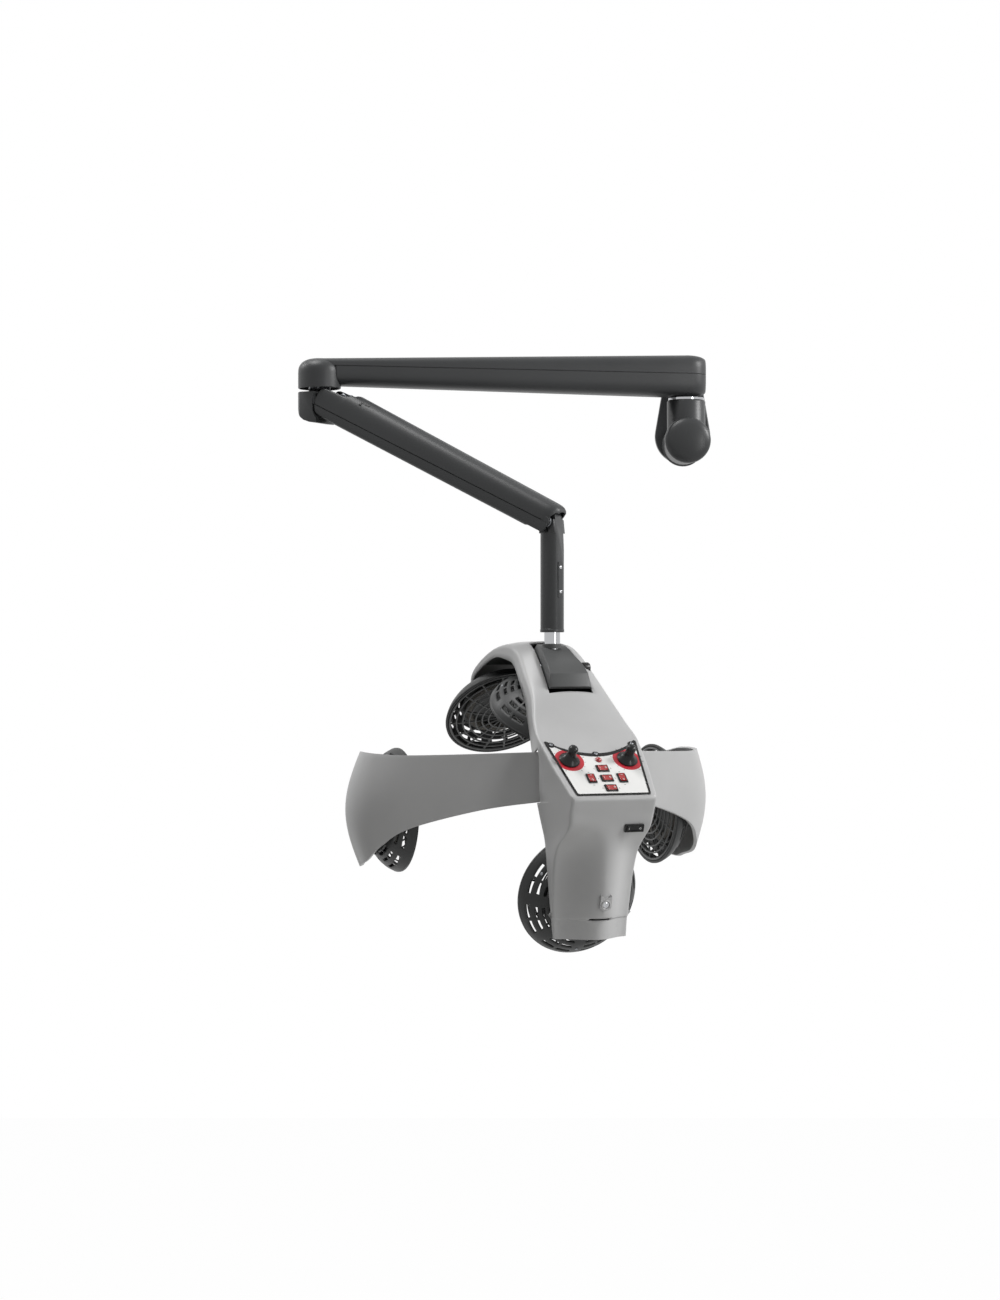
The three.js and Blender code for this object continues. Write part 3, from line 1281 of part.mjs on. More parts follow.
const dialKnob = () => turned([
  [0, 0],
  [KNOB_SKIRT_RADIUS, 0],
  [KNOB_SKIRT_RADIUS, 1.5],
  [0.8 * KNOB_SKIRT_RADIUS, 0.16 * KNOB_HEIGHT],
  [0.95 * KNOB_GRIP_RADIUS, 0.45 * KNOB_HEIGHT],
  [KNOB_GRIP_RADIUS, 0.6 * KNOB_HEIGHT],
  [KNOB_GRIP_RADIUS, 0.9 * KNOB_HEIGHT],
  [0.7 * KNOB_GRIP_RADIUS, KNOB_HEIGHT],
  [0, KNOB_HEIGHT],
], SIDES).translate([0, 0, PANEL_PROUD + 2 * GAP])
  .add(rod(KNOB_SHAFT_RADIUS, v3(0, 0, -KNOB_SHAFT_LENGTH), v3(0, 0, PANEL_PROUD + 2)));

function pilotLens() {
  const dome = turned([
    [0, 0],
    [PILOT_RADIUS, 0],
    [0.8 * PILOT_RADIUS, 0.5 * PILOT_RADIUS],
    [0, 0.75 * PILOT_RADIUS],
  ], SIDES).translate([0, 0, PANEL_PROUD + GAP]);
  return dome.add(rod(PILOT_RADIUS - 1, v3(0, 0, PANEL_FLOOR), v3(0, 0, PANEL_PROUD + 1)));
}

place(panel, 'panel_border', panelBorder(), GLOSS_BLACK);
place(panel, 'control_panel', panelPlate(), PANEL_WHITE);
place(panel, 'switch_bank', switchBank(), GLOSS_BLACK);
for (const { name, down, side, upright } of SWITCHES) {
  const seat = frameOn(panel, v3(down, side, 0), 'z', upright ? 0 : 90);
  const length = SWITCH_LENGTH - 2 * SWITCH_RIM - 2 * ROCKER_PLAY;
  const width = SWITCH_WIDTH - 2 * SWITCH_RIM - 2 * GAP;
  place(seat, `${name}_rocker`, rockerCap(length, width, SWITCH_PROUD + 0.8), RED);
}
const dials = [['timer_knob', -KNOB_SPREAD], ['power_knob', KNOB_SPREAD]];
for (const [name, side] of dials) {
  place(frameOn(panel, v3(KNOB_DOWN, side, 0), 'z', 0), name, dialKnob(), GLOSS_BLACK);
}
place(frameOn(panel, v3(PILOT_DOWN, 0, 0), 'z', 0), 'pilot_lens', pilotLens(), RED);

const BOX_TOP = -Math.max(BANK_DEPTH + BANK_BASE, KNOB_SHAFT_LENGTH) - GAP;
place(
  panel,
  'control_box',
  block(
    v3(KNOB_DOWN - 12, -PANEL_BOTTOM_HALF_WIDTH + 6, BOX_TOP - BOX_DEPTH),
    v3(PANEL_LENGTH - 14, PANEL_BOTTOM_HALF_WIDTH - 6, BOX_TOP),
  ),
  STEEL,
);

// Main switch on the front, below the ridge: x down, y across, z out of the face

const front = frameOn(
  hood,
  v3(MAIN_SWITCH_FORWARD, MAIN_SWITCH_SIDE, -MAIN_SWITCH_DROP),
  'y',
  MAIN_SWITCH_LEAN,
);

function mainSwitchBody() {
  const [x, y] = [MAIN_SWITCH_WIDTH / 2, MAIN_SWITCH_LENGTH / 2];
  const inside = 1 + 2 * GAP;
  const flange = block(v3(-x, -y, 2 * GAP), v3(x, y, 2));
  const can = block(v3(-x + inside, -y + inside, -MAIN_SWITCH_DEPTH), v3(x - inside, y - inside, 1));
  const pocket = block(
    v3(-x + SWITCH_RIM + 1, -y + SWITCH_RIM + 1, ROCKER_FLOOR),
    v3(x - SWITCH_RIM - 1, y - SWITCH_RIM - 1, 3),
  );
  return cut(flange.add(can), pocket);
}

place(front, 'main_switch_body', mainSwitchBody(), GLOSS_BLACK);
place(
  frameOn(front, v3(0, 0, 0), 'z', 90),
  'main_switch_rocker',
  rockerCap(
    MAIN_SWITCH_LENGTH - 2 * SWITCH_RIM - 2 - 2 * ROCKER_PLAY,
    MAIN_SWITCH_WIDTH - 2 * SWITCH_RIM - 2 - 2 * GAP,
    2.4,
  ),
  GLOSS_BLACK,
);

// Lamps: z runs from the rim towards the back

const segmentAngles = (spokes, solidAngle) => {
  const angles = [];
  const openAngle = 360 / spokes - solidAngle;
  for (let i = 0; i < spokes; i++) {
    const start = (360 * i) / spokes;
    angles.push(start, start + solidAngle, start + solidAngle + openAngle / 2);
  }
  return angles.map(rad);
};

// A wall between an inner and an outer surface of revolution, rim to middle, with open cells.
// Each ring is [inner radius, inner z, outer radius, outer z]; isOpen takes a row and a segment.
function piercedDish(rings, angles, isOpen) {
  const count = angles.length;
  const points = [];
  for (const [innerRadius, innerZ, outerRadius, outerZ] of rings) {
    for (const [radius, z] of [[innerRadius, innerZ], [outerRadius, outerZ]]) {
      points.push(...angles.map((angle) => v3(radius * Math.cos(angle), radius * Math.sin(angle), z)));
    }
  }
  const innerAt = (row, j) => 2 * row * count + (j % count);
  const outerAt = (row, j) => (2 * row + 1) * count + (j % count);
  const rows = rings.length - 1;
  const isSolid = (row, j) => row >= 0 && row < rows && !isOpen(row, (j + count) % count);
  const index = [];
  const quad = (a, b, c, d) => index.push(a, b, c, a, c, d);
  for (let row = 0; row < rows; row++) {
    for (let j = 0; j < count; j++) {
      if (!isSolid(row, j)) continue;
      const corners = [[row, j], [row, j + 1], [row + 1, j + 1], [row + 1, j]];
      const inner = corners.map(([r, s]) => innerAt(r, s));
      const outer = corners.map(([r, s]) => outerAt(r, s));
      quad(...inner);
      quad(...[...outer].reverse());
      const isJoined = [
        isSolid(row - 1, j),
        isSolid(row, j + 1),
        row + 1 === rows || isSolid(row + 1, j),
        isSolid(row, j - 1),
      ];
      isJoined.forEach((joinedOn, k) => {
        const next = (k + 1) % 4;
        if (!joinedOn) quad(inner[next], inner[k], outer[k], outer[next]);
      });
    }
  }
  const [, innerZ, , outerZ] = rings[rows];
  const middle = points.length;
  points.push(v3(0, 0, innerZ), v3(0, 0, outerZ));
  for (let j = 0; j < count; j++) {
    index.push(middle, innerAt(rows, j), innerAt(rows, j + 1));
    index.push(middle + 1, outerAt(rows, j + 1), outerAt(rows, j));
  }
  const geometry = new THREE.BufferGeometry().setFromPoints(points);
  geometry.setIndex(index);
  return solid(geometry);
}

// Outer profile of the lamp shell as shares of its radius and depth. Slots lie in the named rows.
const SHELL_PROFILE = [
  [1, 0],
  [0.99, 0.2],
  [0.915, 0.4],
  [0.865, 0.525],
  [0.76, 0.7],
  [0.7, 0.78],
  [0.56, 0.9],
  [0.49, 0.935],
  [0.15, 1],
];
const SHELL_SLOT_ROWS = [2, 4, 6];
const GRILLE_PROFILE = [1, 0.9, 0.58, 0.5, 0.18, 0.09];
const GRILLE_SLOT_ROWS = [1, 3];
const SHELL_INNER_RADIUS = LAMP_RADIUS - LAMP_WALL;
const SHELL_MOUTH = SHELL_INNER_RADIUS * Math.cos(rad((360 / SPOKES - SPOKE_ANGLE) / 4));

function lampShell(stalkLength) {
  const outer = SHELL_PROFILE.map(([radius, depth]) => v2(radius * LAMP_RADIUS, depth * LAMP_DEPTH));
  const rings = outer.map((point, i) => {
    const ahead = outer[Math.min(i + 1, outer.length - 1)];
    const run = ahead.clone().sub(outer[Math.max(i - 1, 0)]).normalize();
    const inner = i === 0
      ? v2(SHELL_INNER_RADIUS, 0)
      : v2(point.x - LAMP_WALL * run.y, point.y + LAMP_WALL * run.x);
    return [inner.x, inner.y, point.x, point.y];
  });
  const angles = segmentAngles(SPOKES, SPOKE_ANGLE);
  const dish = piercedDish(rings, angles, (row, j) => SHELL_SLOT_ROWS.includes(row) && j % 3 !== 0);
  return dish.add(rod(STALK_RADIUS, v3(0, 0, LAMP_DEPTH - 1), v3(0, 0, LAMP_DEPTH + stalkLength)));
}

function lampGrille() {
  const radius = SHELL_MOUTH - GAP;
  const rings = GRILLE_PROFILE.map((share) => {
    const bulge = GRILLE_BULGE * (1 - share * share);
    return [share * radius, -bulge, share * radius, GRILLE_THICKNESS - bulge];
  });
  const angles = segmentAngles(SPOKES, RIB_ANGLE);
  return piercedDish(rings, angles, (row, j) => GRILLE_SLOT_ROWS.includes(row) && j % 3 !== 0);
}

const POST_END = 0.87 * LAMP_DEPTH - LAMP_WALL - 2 * GAP;

function lampEmitter() {
  const torus = solid(new THREE.TorusGeometry(EMITTER_RADIUS, EMITTER_TUBE, 6, SIDES));
  const post = (turn) => {
    const angle = rad(SPOKE_ANGLE / 2) + turn;
    const at = (z) => v3(EMITTER_RADIUS * Math.cos(angle), EMITTER_RADIUS * Math.sin(angle), z);
    return rod(EMITTER_POST_RADIUS, at(EMITTER_DEPTH), at(POST_END), 8);
  };
  return joined(torus.translate([0, 0, EMITTER_DEPTH]), post(0), post(Math.PI));
}

function placeLamp(parent, name, position, turnAxis, degrees, stalkLength) {
  const lamp = frameOn(parent, position, turnAxis, degrees);
  place(lamp, `${name}_lamp_shell`, lampShell(stalkLength), LAMP_BLACK);
  place(lamp, `${name}_lamp_grille`, lampGrille(), LAMP_BLACK);
  place(lamp, `${name}_lamp_emitter`, lampEmitter(), CERAMIC);
}

for (const { name, at, lean, stalk } of ARCH_LAMPS) {
  placeLamp(hood, name, v3(at[0], 0, at[1]), 'y', lean, stalk);
}

// Wings: thin sheets that reach round the head from hinge barrels behind the panel

const WING_STATIONS = [
  { at: [111, 55], top: WING_ROOT_TOP, bottom: WING_ROOT_BOTTOM, bulge: 0 },
  { at: [103, 64], top: WING_ROOT_TOP, bottom: WING_ROOT_BOTTOM, bulge: 0 },
  { at: [60, 132], top: -149, bottom: -226, bulge: 0 },
  { at: [0, 213], top: -152, bottom: -253, bulge: 5 },
  { at: [-36, 243], top: -151, bottom: -280, bulge: 11 },
  { at: [-62, 252], top: -150, bottom: -299, bulge: 16 },
  { at: [-90, 251], top: -148, bottom: -307, bulge: 20 },
  { at: [-112, 245], top: -146, bottom: -312, bulge: 20 },
  { at: [-141, 225], top: -145, bottom: -314, bulge: 19 },
  { at: [-150, 218], top: -157, bottom: -303, bulge: 17 },
];
const WING_STEPS = [0, 0.1, 0.3, 0.5, 0.7, 0.9, 1];

function wing(side) {
  const loops = WING_STATIONS.map(({ at, top, bottom, bulge }, i) => {
    const before = WING_STATIONS[Math.max(i - 1, 0)].at;
    const after = WING_STATIONS[Math.min(i + 1, WING_STATIONS.length - 1)].at;
    const out = v2(after[1] - before[1], before[0] - after[0]).normalize();
    const line = (depth) => WING_STEPS.map((share) => {
      const swell = bulge * Math.sin(Math.PI * share) - depth;
      return v3(at[0] + out.x * swell, side * (at[1] + out.y * swell), lerp(bottom, top, share));
    });
    return [...line(0), ...line(WING_THICKNESS).reverse()];
  });
  const hinge = (z) => v3(WING_PIN_FORWARD, side * WING_PIN_SIDE, z);
  const barrel = rod(WING_BARREL_RADIUS, hinge(WING_ROOT_BOTTOM), hinge(WING_ROOT_TOP));
  const bore = rod(boreOf(WING_PIN_RADIUS), hinge(WING_ROOT_BOTTOM - 1), hinge(WING_ROOT_TOP + 1));
  return cut(loft(loops, true).add(barrel), bore);
}

function wingPin(side) {
  const at = (z) => v3(WING_PIN_FORWARD, side * WING_PIN_SIDE, z);
  return rod(WING_PIN_RADIUS, at(WING_ROOT_BOTTOM - WING_LUG), at(WING_ROOT_TOP + WING_LUG));
}

for (const [name, side] of [['left', -1], ['right', 1]]) {
  place(hood, `${name}_wing`, wing(side), BODY_GREY);
  place(hood, `${name}_wing_pin`, wingPin(side), STEEL);
  const lampPlace = v3(SIDE_LAMP_FORWARD, side * SIDE_LAMP_SPREAD, -SIDE_LAMP_DROP);
  placeLamp(hood, name, lampPlace, 'x', -90 * side, SIDE_LAMP_STALK);
}

export default part;
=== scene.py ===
"""Dresses a packed wall-arm hair colour processor: fine skins, lamps, controls, finishes, studio."""

import json
import math

import bmesh
import bpy
from bpy.props import FloatProperty, IntProperty, PointerProperty, StringProperty
from mathutils import Matrix, Vector


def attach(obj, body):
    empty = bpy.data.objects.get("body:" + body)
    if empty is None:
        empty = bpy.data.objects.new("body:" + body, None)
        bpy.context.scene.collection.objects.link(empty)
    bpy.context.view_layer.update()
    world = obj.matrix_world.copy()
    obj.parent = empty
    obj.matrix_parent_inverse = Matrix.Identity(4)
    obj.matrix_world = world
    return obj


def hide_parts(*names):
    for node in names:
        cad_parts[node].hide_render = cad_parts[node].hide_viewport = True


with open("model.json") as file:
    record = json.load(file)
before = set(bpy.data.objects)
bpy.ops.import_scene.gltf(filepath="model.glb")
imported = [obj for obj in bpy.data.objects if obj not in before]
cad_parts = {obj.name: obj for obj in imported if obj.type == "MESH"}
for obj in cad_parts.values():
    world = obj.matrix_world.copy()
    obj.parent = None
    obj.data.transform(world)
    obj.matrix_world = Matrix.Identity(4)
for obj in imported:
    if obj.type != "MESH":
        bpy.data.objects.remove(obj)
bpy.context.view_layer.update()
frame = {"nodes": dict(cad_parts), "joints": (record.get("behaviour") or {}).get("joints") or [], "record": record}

bl_info = {
    "name": "Hair Processor Dresser",
    "version": (1, 0, 0),
    "blender": (4, 5, 0),
    "location": "3D View > Sidebar > Hair Processor",
    "description": "Builds the skins, lamps, controls, finishes and studio of a wall-arm hair processor",
    "category": "Object",
}

# Frames: each maps a piece's own millimetres to the row's metres.

JOINTS = {joint["name"]: joint for joint in frame["joints"]}
SLOT_OF = {part["node"]: part["material_slot"] for part in frame["record"]["subparts"]}
MM_PER_METRE = 1000
MM = Matrix.Scale(1 / MM_PER_METRE, 4)
UP = Vector((0, 0, 1))


def joint_place(name):
    return Vector(JOINTS[name]["pos_m"])


def axes_frame(origin, x_axis, y_axis):
    x, y = Vector(x_axis).normalized(), Vector(y_axis).normalized()
    turn = Matrix((x, y, x.cross(y))).transposed().to_4x4()
    return Matrix.Translation(origin) @ turn @ MM


def turned(place, axis, degrees):
    return place @ Matrix.Rotation(math.radians(degrees), 4, axis)


def moved(place, offset, axis=None, degrees=0.0):
    shifted = place @ Matrix.Translation(Vector(offset))
    return turned(shifted, axis, degrees) if axis else shifted


ROW = MM
ARM_SIDE = -Vector(JOINTS["arm_tilt"]["axis"])
HOOD_SIDE = -Vector(JOINTS["hood_tilt"]["axis"])
UPPER_RUN = joint_place("elbow_swing") - joint_place("shoulder_swing")
UPPER_RUN.z = 0
UPPER_ARM = axes_frame(joint_place("shoulder_swing"), UPPER_RUN, UP.cross(UPPER_RUN))
LOWER_ARM = axes_frame(
    joint_place("arm_tilt"), joint_place("stem_level") - joint_place("arm_tilt"), ARM_SIDE
)
STEM = axes_frame(joint_place("stem_level"), ARM_SIDE.cross(UP), ARM_SIDE)
HOOD = axes_frame(joint_place("hood_turn"), HOOD_SIDE.cross(UP), HOOD_SIDE)

# Places in the hood's frame are (forward, sideways, up), in millimetres from the foot of the post.
PANEL = moved(HOOD, (128.8, 0, -131.25), "Y", 40.6)
NOSE_SLOPE = 106  # degrees from level of the hood's face below the panel, and of the nape lamp
MAIN_SWITCH = turned(moved(HOOD, (199, 33.7, -245), "Y", NOSE_SLOPE), "Z", 90)
AXLE_FORWARD, AXLE_HEIGHT = 20, -33
WING_LAMP_FORWARD, WING_LAMP_SIDE, WING_LAMP_HEIGHT, WING_STALK = -90, 197, -232, 25.9
SIDES = {"left": -1, "right": 1}


def wing_lamp(side):
    middle = (WING_LAMP_FORWARD, side * WING_LAMP_SIDE, WING_LAMP_HEIGHT)
    return moved(HOOD, middle, "X", -90 * side)


# Each lamp: the middle of its rim with z to its back, the body that carries it, its stalk's length
LAMPS = {
    "nape": (moved(HOOD, (85, 0, -340), "Y", NOSE_SLOPE), "hood", 13.2),
    "top": (moved(HOOD, (-6, 0, -95), "Y", 32), "hood", 7.1),
    "forehead": (moved(HOOD, (-181, 0, -100.5), "Y", -43), "hood", 5.7),
    "left": (wing_lamp(SIDES["left"]), "left_wing_body", WING_STALK),
    "right": (wing_lamp(SIDES["right"]), "right_wing_body", WING_STALK),
}


# Settings that a user would change


class SkinSizes(bpy.types.PropertyGroup):
    """Sizes of the moulded skins"""

    hood_wall: FloatProperty(
        name="Hood wall", description="Thickness of the hood's skin",
        default=0.003, min=0.001, max=0.005, unit="LENGTH",
    )
    corner: FloatProperty(
        name="Corner", description="Rounding where the hood's face meets its sides",
        default=0.005, min=0.002, max=0.009, unit="LENGTH",
    )
    wing_wall: FloatProperty(
        name="Wing wall", description="Thickness of a wing",
        default=0.005, min=0.002, max=0.006, unit="LENGTH",
    )
    edge: FloatProperty(
        name="Edge rounding", description="Rounding of moulded edges",
        default=0.0009, min=0.0002, max=0.002, unit="LENGTH",
    )


class LampSizes(bpy.types.PropertyGroup):
    """Sizes and counts of a lamp"""

    segments: IntProperty(
        name="Sector facets", description="Facets of one of a dish's eight sectors",
        default=30, min=10, max=40,
    )
    rings: IntProperty(
        name="Guard rings", description="Wire rings of the guard", default=7, min=3, max=9
    )
    ribs: IntProperty(
        name="Guard ribs", description="Radial wires of the guard", default=16, min=6, max=24
    )
    wire: FloatProperty(
        name="Guard wire", description="Radius of the guard's wire",
        default=0.0015, min=0.0006, max=0.0025, unit="LENGTH",
    )


def hex_colour(name, description, default):
    return StringProperty(name=name, description=f"{description}, as an sRGB hex value", default=default)


class Finishes(bpy.types.PropertyGroup):
    """Colours of the finishes"""

    hood: hex_colour("Hood", "Silver grey lacquer of the hood and wings", "#b2b2b2")
    arm: hex_colour("Arm", "Charcoal plastic of the arm covers", "#323334")
    enamel: hex_colour("Enamel", "Charcoal enamel of the bracket and stem", "#353637")
    shoe: hex_colour("Shoe", "Grey plastic of the tilt shoe", "#484949")
    lamp: hex_colour("Lamp", "Black nylon of the lamp shells", "#222323")
    wire: hex_colour("Wire", "Grey-black enamel of the guards", "#4a4b4b")
    black: hex_colour("Black", "Gloss black of knobs and bezels", "#0b0b0b")
    red: hex_colour("Red", "Red of the rockers", "#a01617")
    ring: hex_colour("Ring", "Red ink of the dial rings", "#b01f2d")
    panel: hex_colour("Panel", "White of the control panel", "#e6e6e4")
    print_ink: hex_colour("Ink", "Grey ink of the dial marks", "#4a4a4c")


class DresserSettings(bpy.types.PropertyGroup):
    """All settings of the dresser"""

    skins: PointerProperty(type=SkinSizes)
    lamps: PointerProperty(type=LampSizes)
    finishes: PointerProperty(type=Finishes)


def settings():
    return bpy.context.scene.hair_processor


# Materials


def linear(hex_value):
    """An sRGB hex value as linear RGBA."""
    parts = [int(hex_value[i : i + 2], 16) / 255 for i in (1, 3, 5)]
    return (*[p / 12.92 if p <= 0.04045 else ((p + 0.055) / 1.055) ** 2.4 for p in parts], 1.0)


def per_mm(size):
    """Pattern scale for features of that many millimetres, in object coordinates in metres."""
    return MM_PER_METRE / size


def add_node(tree, kind, links=(), values=(), **fields):
    """Adds a node, sets its fields and input values, and links sockets into its inputs."""
    made = tree.nodes.new(kind)
    for field, value in fields.items():
        setattr(made, field, value)
    for key, value in dict(values).items():
        made.inputs[key].default_value = value
    for key, socket in dict(links).items():
        tree.links.new(socket, made.inputs[key])
    return made


def surface(name, shader_values):
    """A new material with a Principled shader: the material, its tree, shader and object coordinates."""
    made = bpy.data.materials.new(name)
    made.use_nodes = True
    tree = made.node_tree
    tree.nodes.clear()
    shader = add_node(tree, "ShaderNodeBsdfPrincipled", values=shader_values)
    add_node(tree, "ShaderNodeOutputMaterial", links={"Surface": shader.outputs["BSDF"]})
    place = add_node(tree, "ShaderNodeTexCoord").outputs["Object"]
    return made, tree, shader, place


def grained(name, colour, roughness, grit_mm, bump_mm, cloud_mm, lighten, shader_values):
    """A moulded surface: fine grain in the bump, soft clouds in colour and roughness."""
    made, tree, shader, place = surface(name, shader_values)
    cloud = add_node(
        tree, "ShaderNodeTexNoise", {"Vector": place},
        {"Scale": per_mm(cloud_mm), "Detail": 4.0, "Roughness": 0.6},
    )
    base = linear(colour)
    paler = tuple(min(1.0, c * lighten) for c in base[:3]) + (1.0,)
    ramp = add_node(tree, "ShaderNodeValToRGB", {"Fac": cloud.outputs["Fac"]})
    ramp.color_ramp.elements[0].position = 0.3
    ramp.color_ramp.elements[0].color = base
    ramp.color_ramp.elements[1].position = 0.75
    ramp.color_ramp.elements[1].color = paler
    tree.links.new(ramp.outputs["Color"], shader.inputs["Base Color"])
    gloss = add_node(
        tree, "ShaderNodeMapRange", {"Value": cloud.outputs["Fac"]},
        {"To Min": roughness - 0.05, "To Max": roughness + 0.06},
    )
    tree.links.new(gloss.outputs["Result"], shader.inputs["Roughness"])
    grit = add_node(
        tree, "ShaderNodeTexNoise", {"Vector": place},
        {"Scale": per_mm(grit_mm), "Detail": 2.0, "Roughness": 0.5},
    )
    bump = add_node(
        tree, "ShaderNodeBump", {"Height": grit.outputs["Fac"]},
        {"Strength": 0.35, "Distance": bump_mm / MM_PER_METRE},
    )
    tree.links.new(bump.outputs["Normal"], shader.inputs["Normal"])
    return made


def lacquered_abs(colours):
    # Silver-grey lacquer sprayed on moulded ABS: a satin skin that a trace of aluminium flake makes
    # softly uneven. Flake of 0.05 mm is drawn at 0.9 mm so that it shows.
    return grained(
        "lacquered_abs", colours.hood, roughness=0.4, grit_mm=0.9, bump_mm=0.05, cloud_mm=70,
        lighten=1.06, shader_values={"Metallic": 0.06, "IOR": 1.4},
    )


def moulded_nylon(colours):
    # Satin charcoal nylon from an eroded mould: an even sheen with a faint grain. Grain of 0.2 mm is
    # drawn at 1 mm so that it shows.
    return grained(
        "moulded_nylon", colours.arm, roughness=0.42, grit_mm=1.0, bump_mm=0.06, cloud_mm=55,
        lighten=1.12, shader_values={"IOR": 1.4},
    )


def satin_enamel(colours):
    # Stoved charcoal enamel on metal: smoother than the nylon, with slight orange peel of 2.5 mm.
    return grained(
        "satin_enamel", colours.enamel, roughness=0.36, grit_mm=2.5, bump_mm=0.05, cloud_mm=60,
        lighten=1.1, shader_values={"IOR": 1.4},
    )


def shoe_nylon(colours):
    # The same nylon in a paler grey, a little rubbed, with its grain drawn as coarse.
    return grained(
        "shoe_nylon", colours.shoe, roughness=0.45, grit_mm=1.0, bump_mm=0.06, cloud_mm=30,
        lighten=1.14, shader_values={"IOR": 1.4},
    )


def heat_nylon(colours):
    # Glass-filled black nylon of the lamp shells: a dry black with fine fibre grain. Fibre of 0.02 mm
    # is drawn at 0.8 mm so that it shows.
    return grained(
        "heat_nylon", colours.lamp, roughness=0.44, grit_mm=0.8, bump_mm=0.08, cloud_mm=40,
        lighten=1.3, shader_values={"IOR": 1.4},
    )


def wire_enamel(colours):
    # Dipped grey-black enamel on guard wires and reflectors: small tight highlights, sags of 1.5 mm.
    return grained(
        "wire_enamel", colours.wire, roughness=0.34, grit_mm=1.5, bump_mm=0.03, cloud_mm=25,
        lighten=1.2, shader_values={"IOR": 1.5},
    )


def gloss_abs(colours):
    # Polished black ABS of knobs and bezels: deep black with soft reflections and ripples of 3 mm.
    return grained(
        "gloss_abs", colours.black, roughness=0.27, grit_mm=3.0, bump_mm=0.01, cloud_mm=20,
        lighten=1.3, shader_values={"IOR": 1.36},
    )


def red_polycarbonate(colours):
    # Tinted polycarbonate of the rockers and lens: a bright red with a wet highlight.
    return grained(
        "red_polycarbonate", colours.red, roughness=0.2, grit_mm=3.0, bump_mm=0.01, cloud_mm=9,
        lighten=1.15, shader_values={"IOR": 1.58, "Coat Weight": 0.3},
    )


def printed_overlay(colours):
    # White polyester overlay: smooth and faintly pearly.
    return grained(
        "printed_overlay", colours.panel, roughness=0.33, grit_mm=1.2, bump_mm=0.01, cloud_mm=30,
        lighten=1.02, shader_values={"IOR": 1.5},
    )


def red_ink(colours):
    # Screen-printed red ink on the overlay: flat and even. A screen mesh of 0.1 mm is drawn at 0.6 mm
    # so that it shows.
    return grained(
        "red_ink", colours.ring, roughness=0.42, grit_mm=0.6, bump_mm=0.01, cloud_mm=12,
        lighten=1.1, shader_values={"IOR": 1.5},
    )


def grey_ink(colours):
    # Screen-printed grey ink of the dial marks, from the same screen and drier.
    return grained(
        "grey_ink", colours.print_ink, roughness=0.5, grit_mm=0.6, bump_mm=0.01, cloud_mm=12,
        lighten=1.1, shader_values={"IOR": 1.5},
    )


def metal(name, colour, roughness, stretch, line_mm, spread):
    """A bare metal whose polish lines run along one axis."""
    made, tree, shader, place = surface(name, {"Base Color": linear(colour), "Metallic": 1.0})
    lines = add_node(tree, "ShaderNodeMapping", {"Vector": place}, {"Scale": stretch})
    scratch = add_node(
        tree, "ShaderNodeTexNoise", {"Vector": lines.outputs["Vector"]},
        {"Scale": per_mm(line_mm), "Detail": 3.0, "Roughness": 0.55},
    )
    gloss = add_node(
        tree, "ShaderNodeMapRange", {"Value": scratch.outputs["Fac"]},
        {"To Min": roughness - spread, "To Max": roughness + spread},
    )
    tree.links.new(gloss.outputs["Result"], shader.inputs["Roughness"])
    bump = add_node(
        tree, "ShaderNodeBump", {"Height": scratch.outputs["Fac"]},
        {"Strength": 0.15, "Distance": 0.00002},
    )
    tree.links.new(bump.outputs["Normal"], shader.inputs["Normal"])
    return made


def chrome_plate(_colours):
    # Bright chromium on steel: a mirror with a trace of upright buffing. Lines of 0.1 mm are drawn at
    # 0.8 mm so that they show.
    return metal(
        "chrome_plate", "#b4b5b7", roughness=0.1, stretch=(1.0, 1.0, 0.1), line_mm=0.8, spread=0.04
    )


def zinc_plate(_colours):
    # Zinc-plated steel of pins, channel and screws: grey, softly brushed. Lines of 0.1 mm are drawn at
    # 0.7 mm so that they show.
    return metal(
        "zinc_plate", "#808285", roughness=0.34, stretch=(0.15, 1.0, 1.0), line_mm=0.7, spread=0.1
    )


def frosted_quartz(_colours):
    # Etched quartz tube over a dark former: a smoky, milky brown-grey while it is cold. Frosting of
    # 0.1 mm is drawn at 1.2 mm so that it shows.
    return grained(
        "frosted_quartz", "#6a6660", roughness=0.45, grit_mm=1.2, bump_mm=0.04, cloud_mm=14,
        lighten=1.15, shader_values={"IOR": 1.46},
    )


SLOT_FINISH = {
    "charcoal_enamel": satin_enamel,
    "charcoal_plastic": moulded_nylon,
    "shoe_plastic": shoe_nylon,
    "grey_plastic": lacquered_abs,
    "black_plastic": heat_nylon,
    "black_wire": wire_enamel,
    "gloss_black": gloss_abs,
    "red_plastic": red_polycarbonate,
    "white_panel": printed_overlay,
    "chrome": chrome_plate,
    "steel": zinc_plate,
    "quartz": frosted_quartz,
}


def finish(maker):
    return bpy.data.materials.get(maker.__name__) or maker(settings().finishes)


# Mesh tools. Points are in a piece's own millimetres until add_points places them.

ON_AXIS = 1e-6
ROUNDING_ERROR = 1e-6
SMOOTH_LIMIT = 38  # degrees between faces up to which an edge is shaded smooth


def add_points(form, points, place):
    return [form.verts.new(place @ Vector(point)) for point in points]


def add_face(form, corners):
    unique = list(dict.fromkeys(corners))
    if len(unique) > 2:
        form.faces.new(unique)


def skin(form, rows, wrap=False, is_open=None, flip=False):
    """Quads between rows of points. wrap joins each row's end to its start."""
    for i in range(len(rows) - 1):
        count = len(rows[i])
        for j in range(count if wrap else count - 1):
            if is_open and is_open(i, j):
                continue
            k = (j + 1) % count
            quad = [rows[i][j], rows[i + 1][j], rows[i + 1][k], rows[i][k]]
            add_face(form, quad[::-1] if flip else quad)


def circle(radius, z, count):
    turn = [2 * math.pi * j / count for j in range(count)]
    return [(radius * math.cos(a), radius * math.sin(a), z) for a in turn]


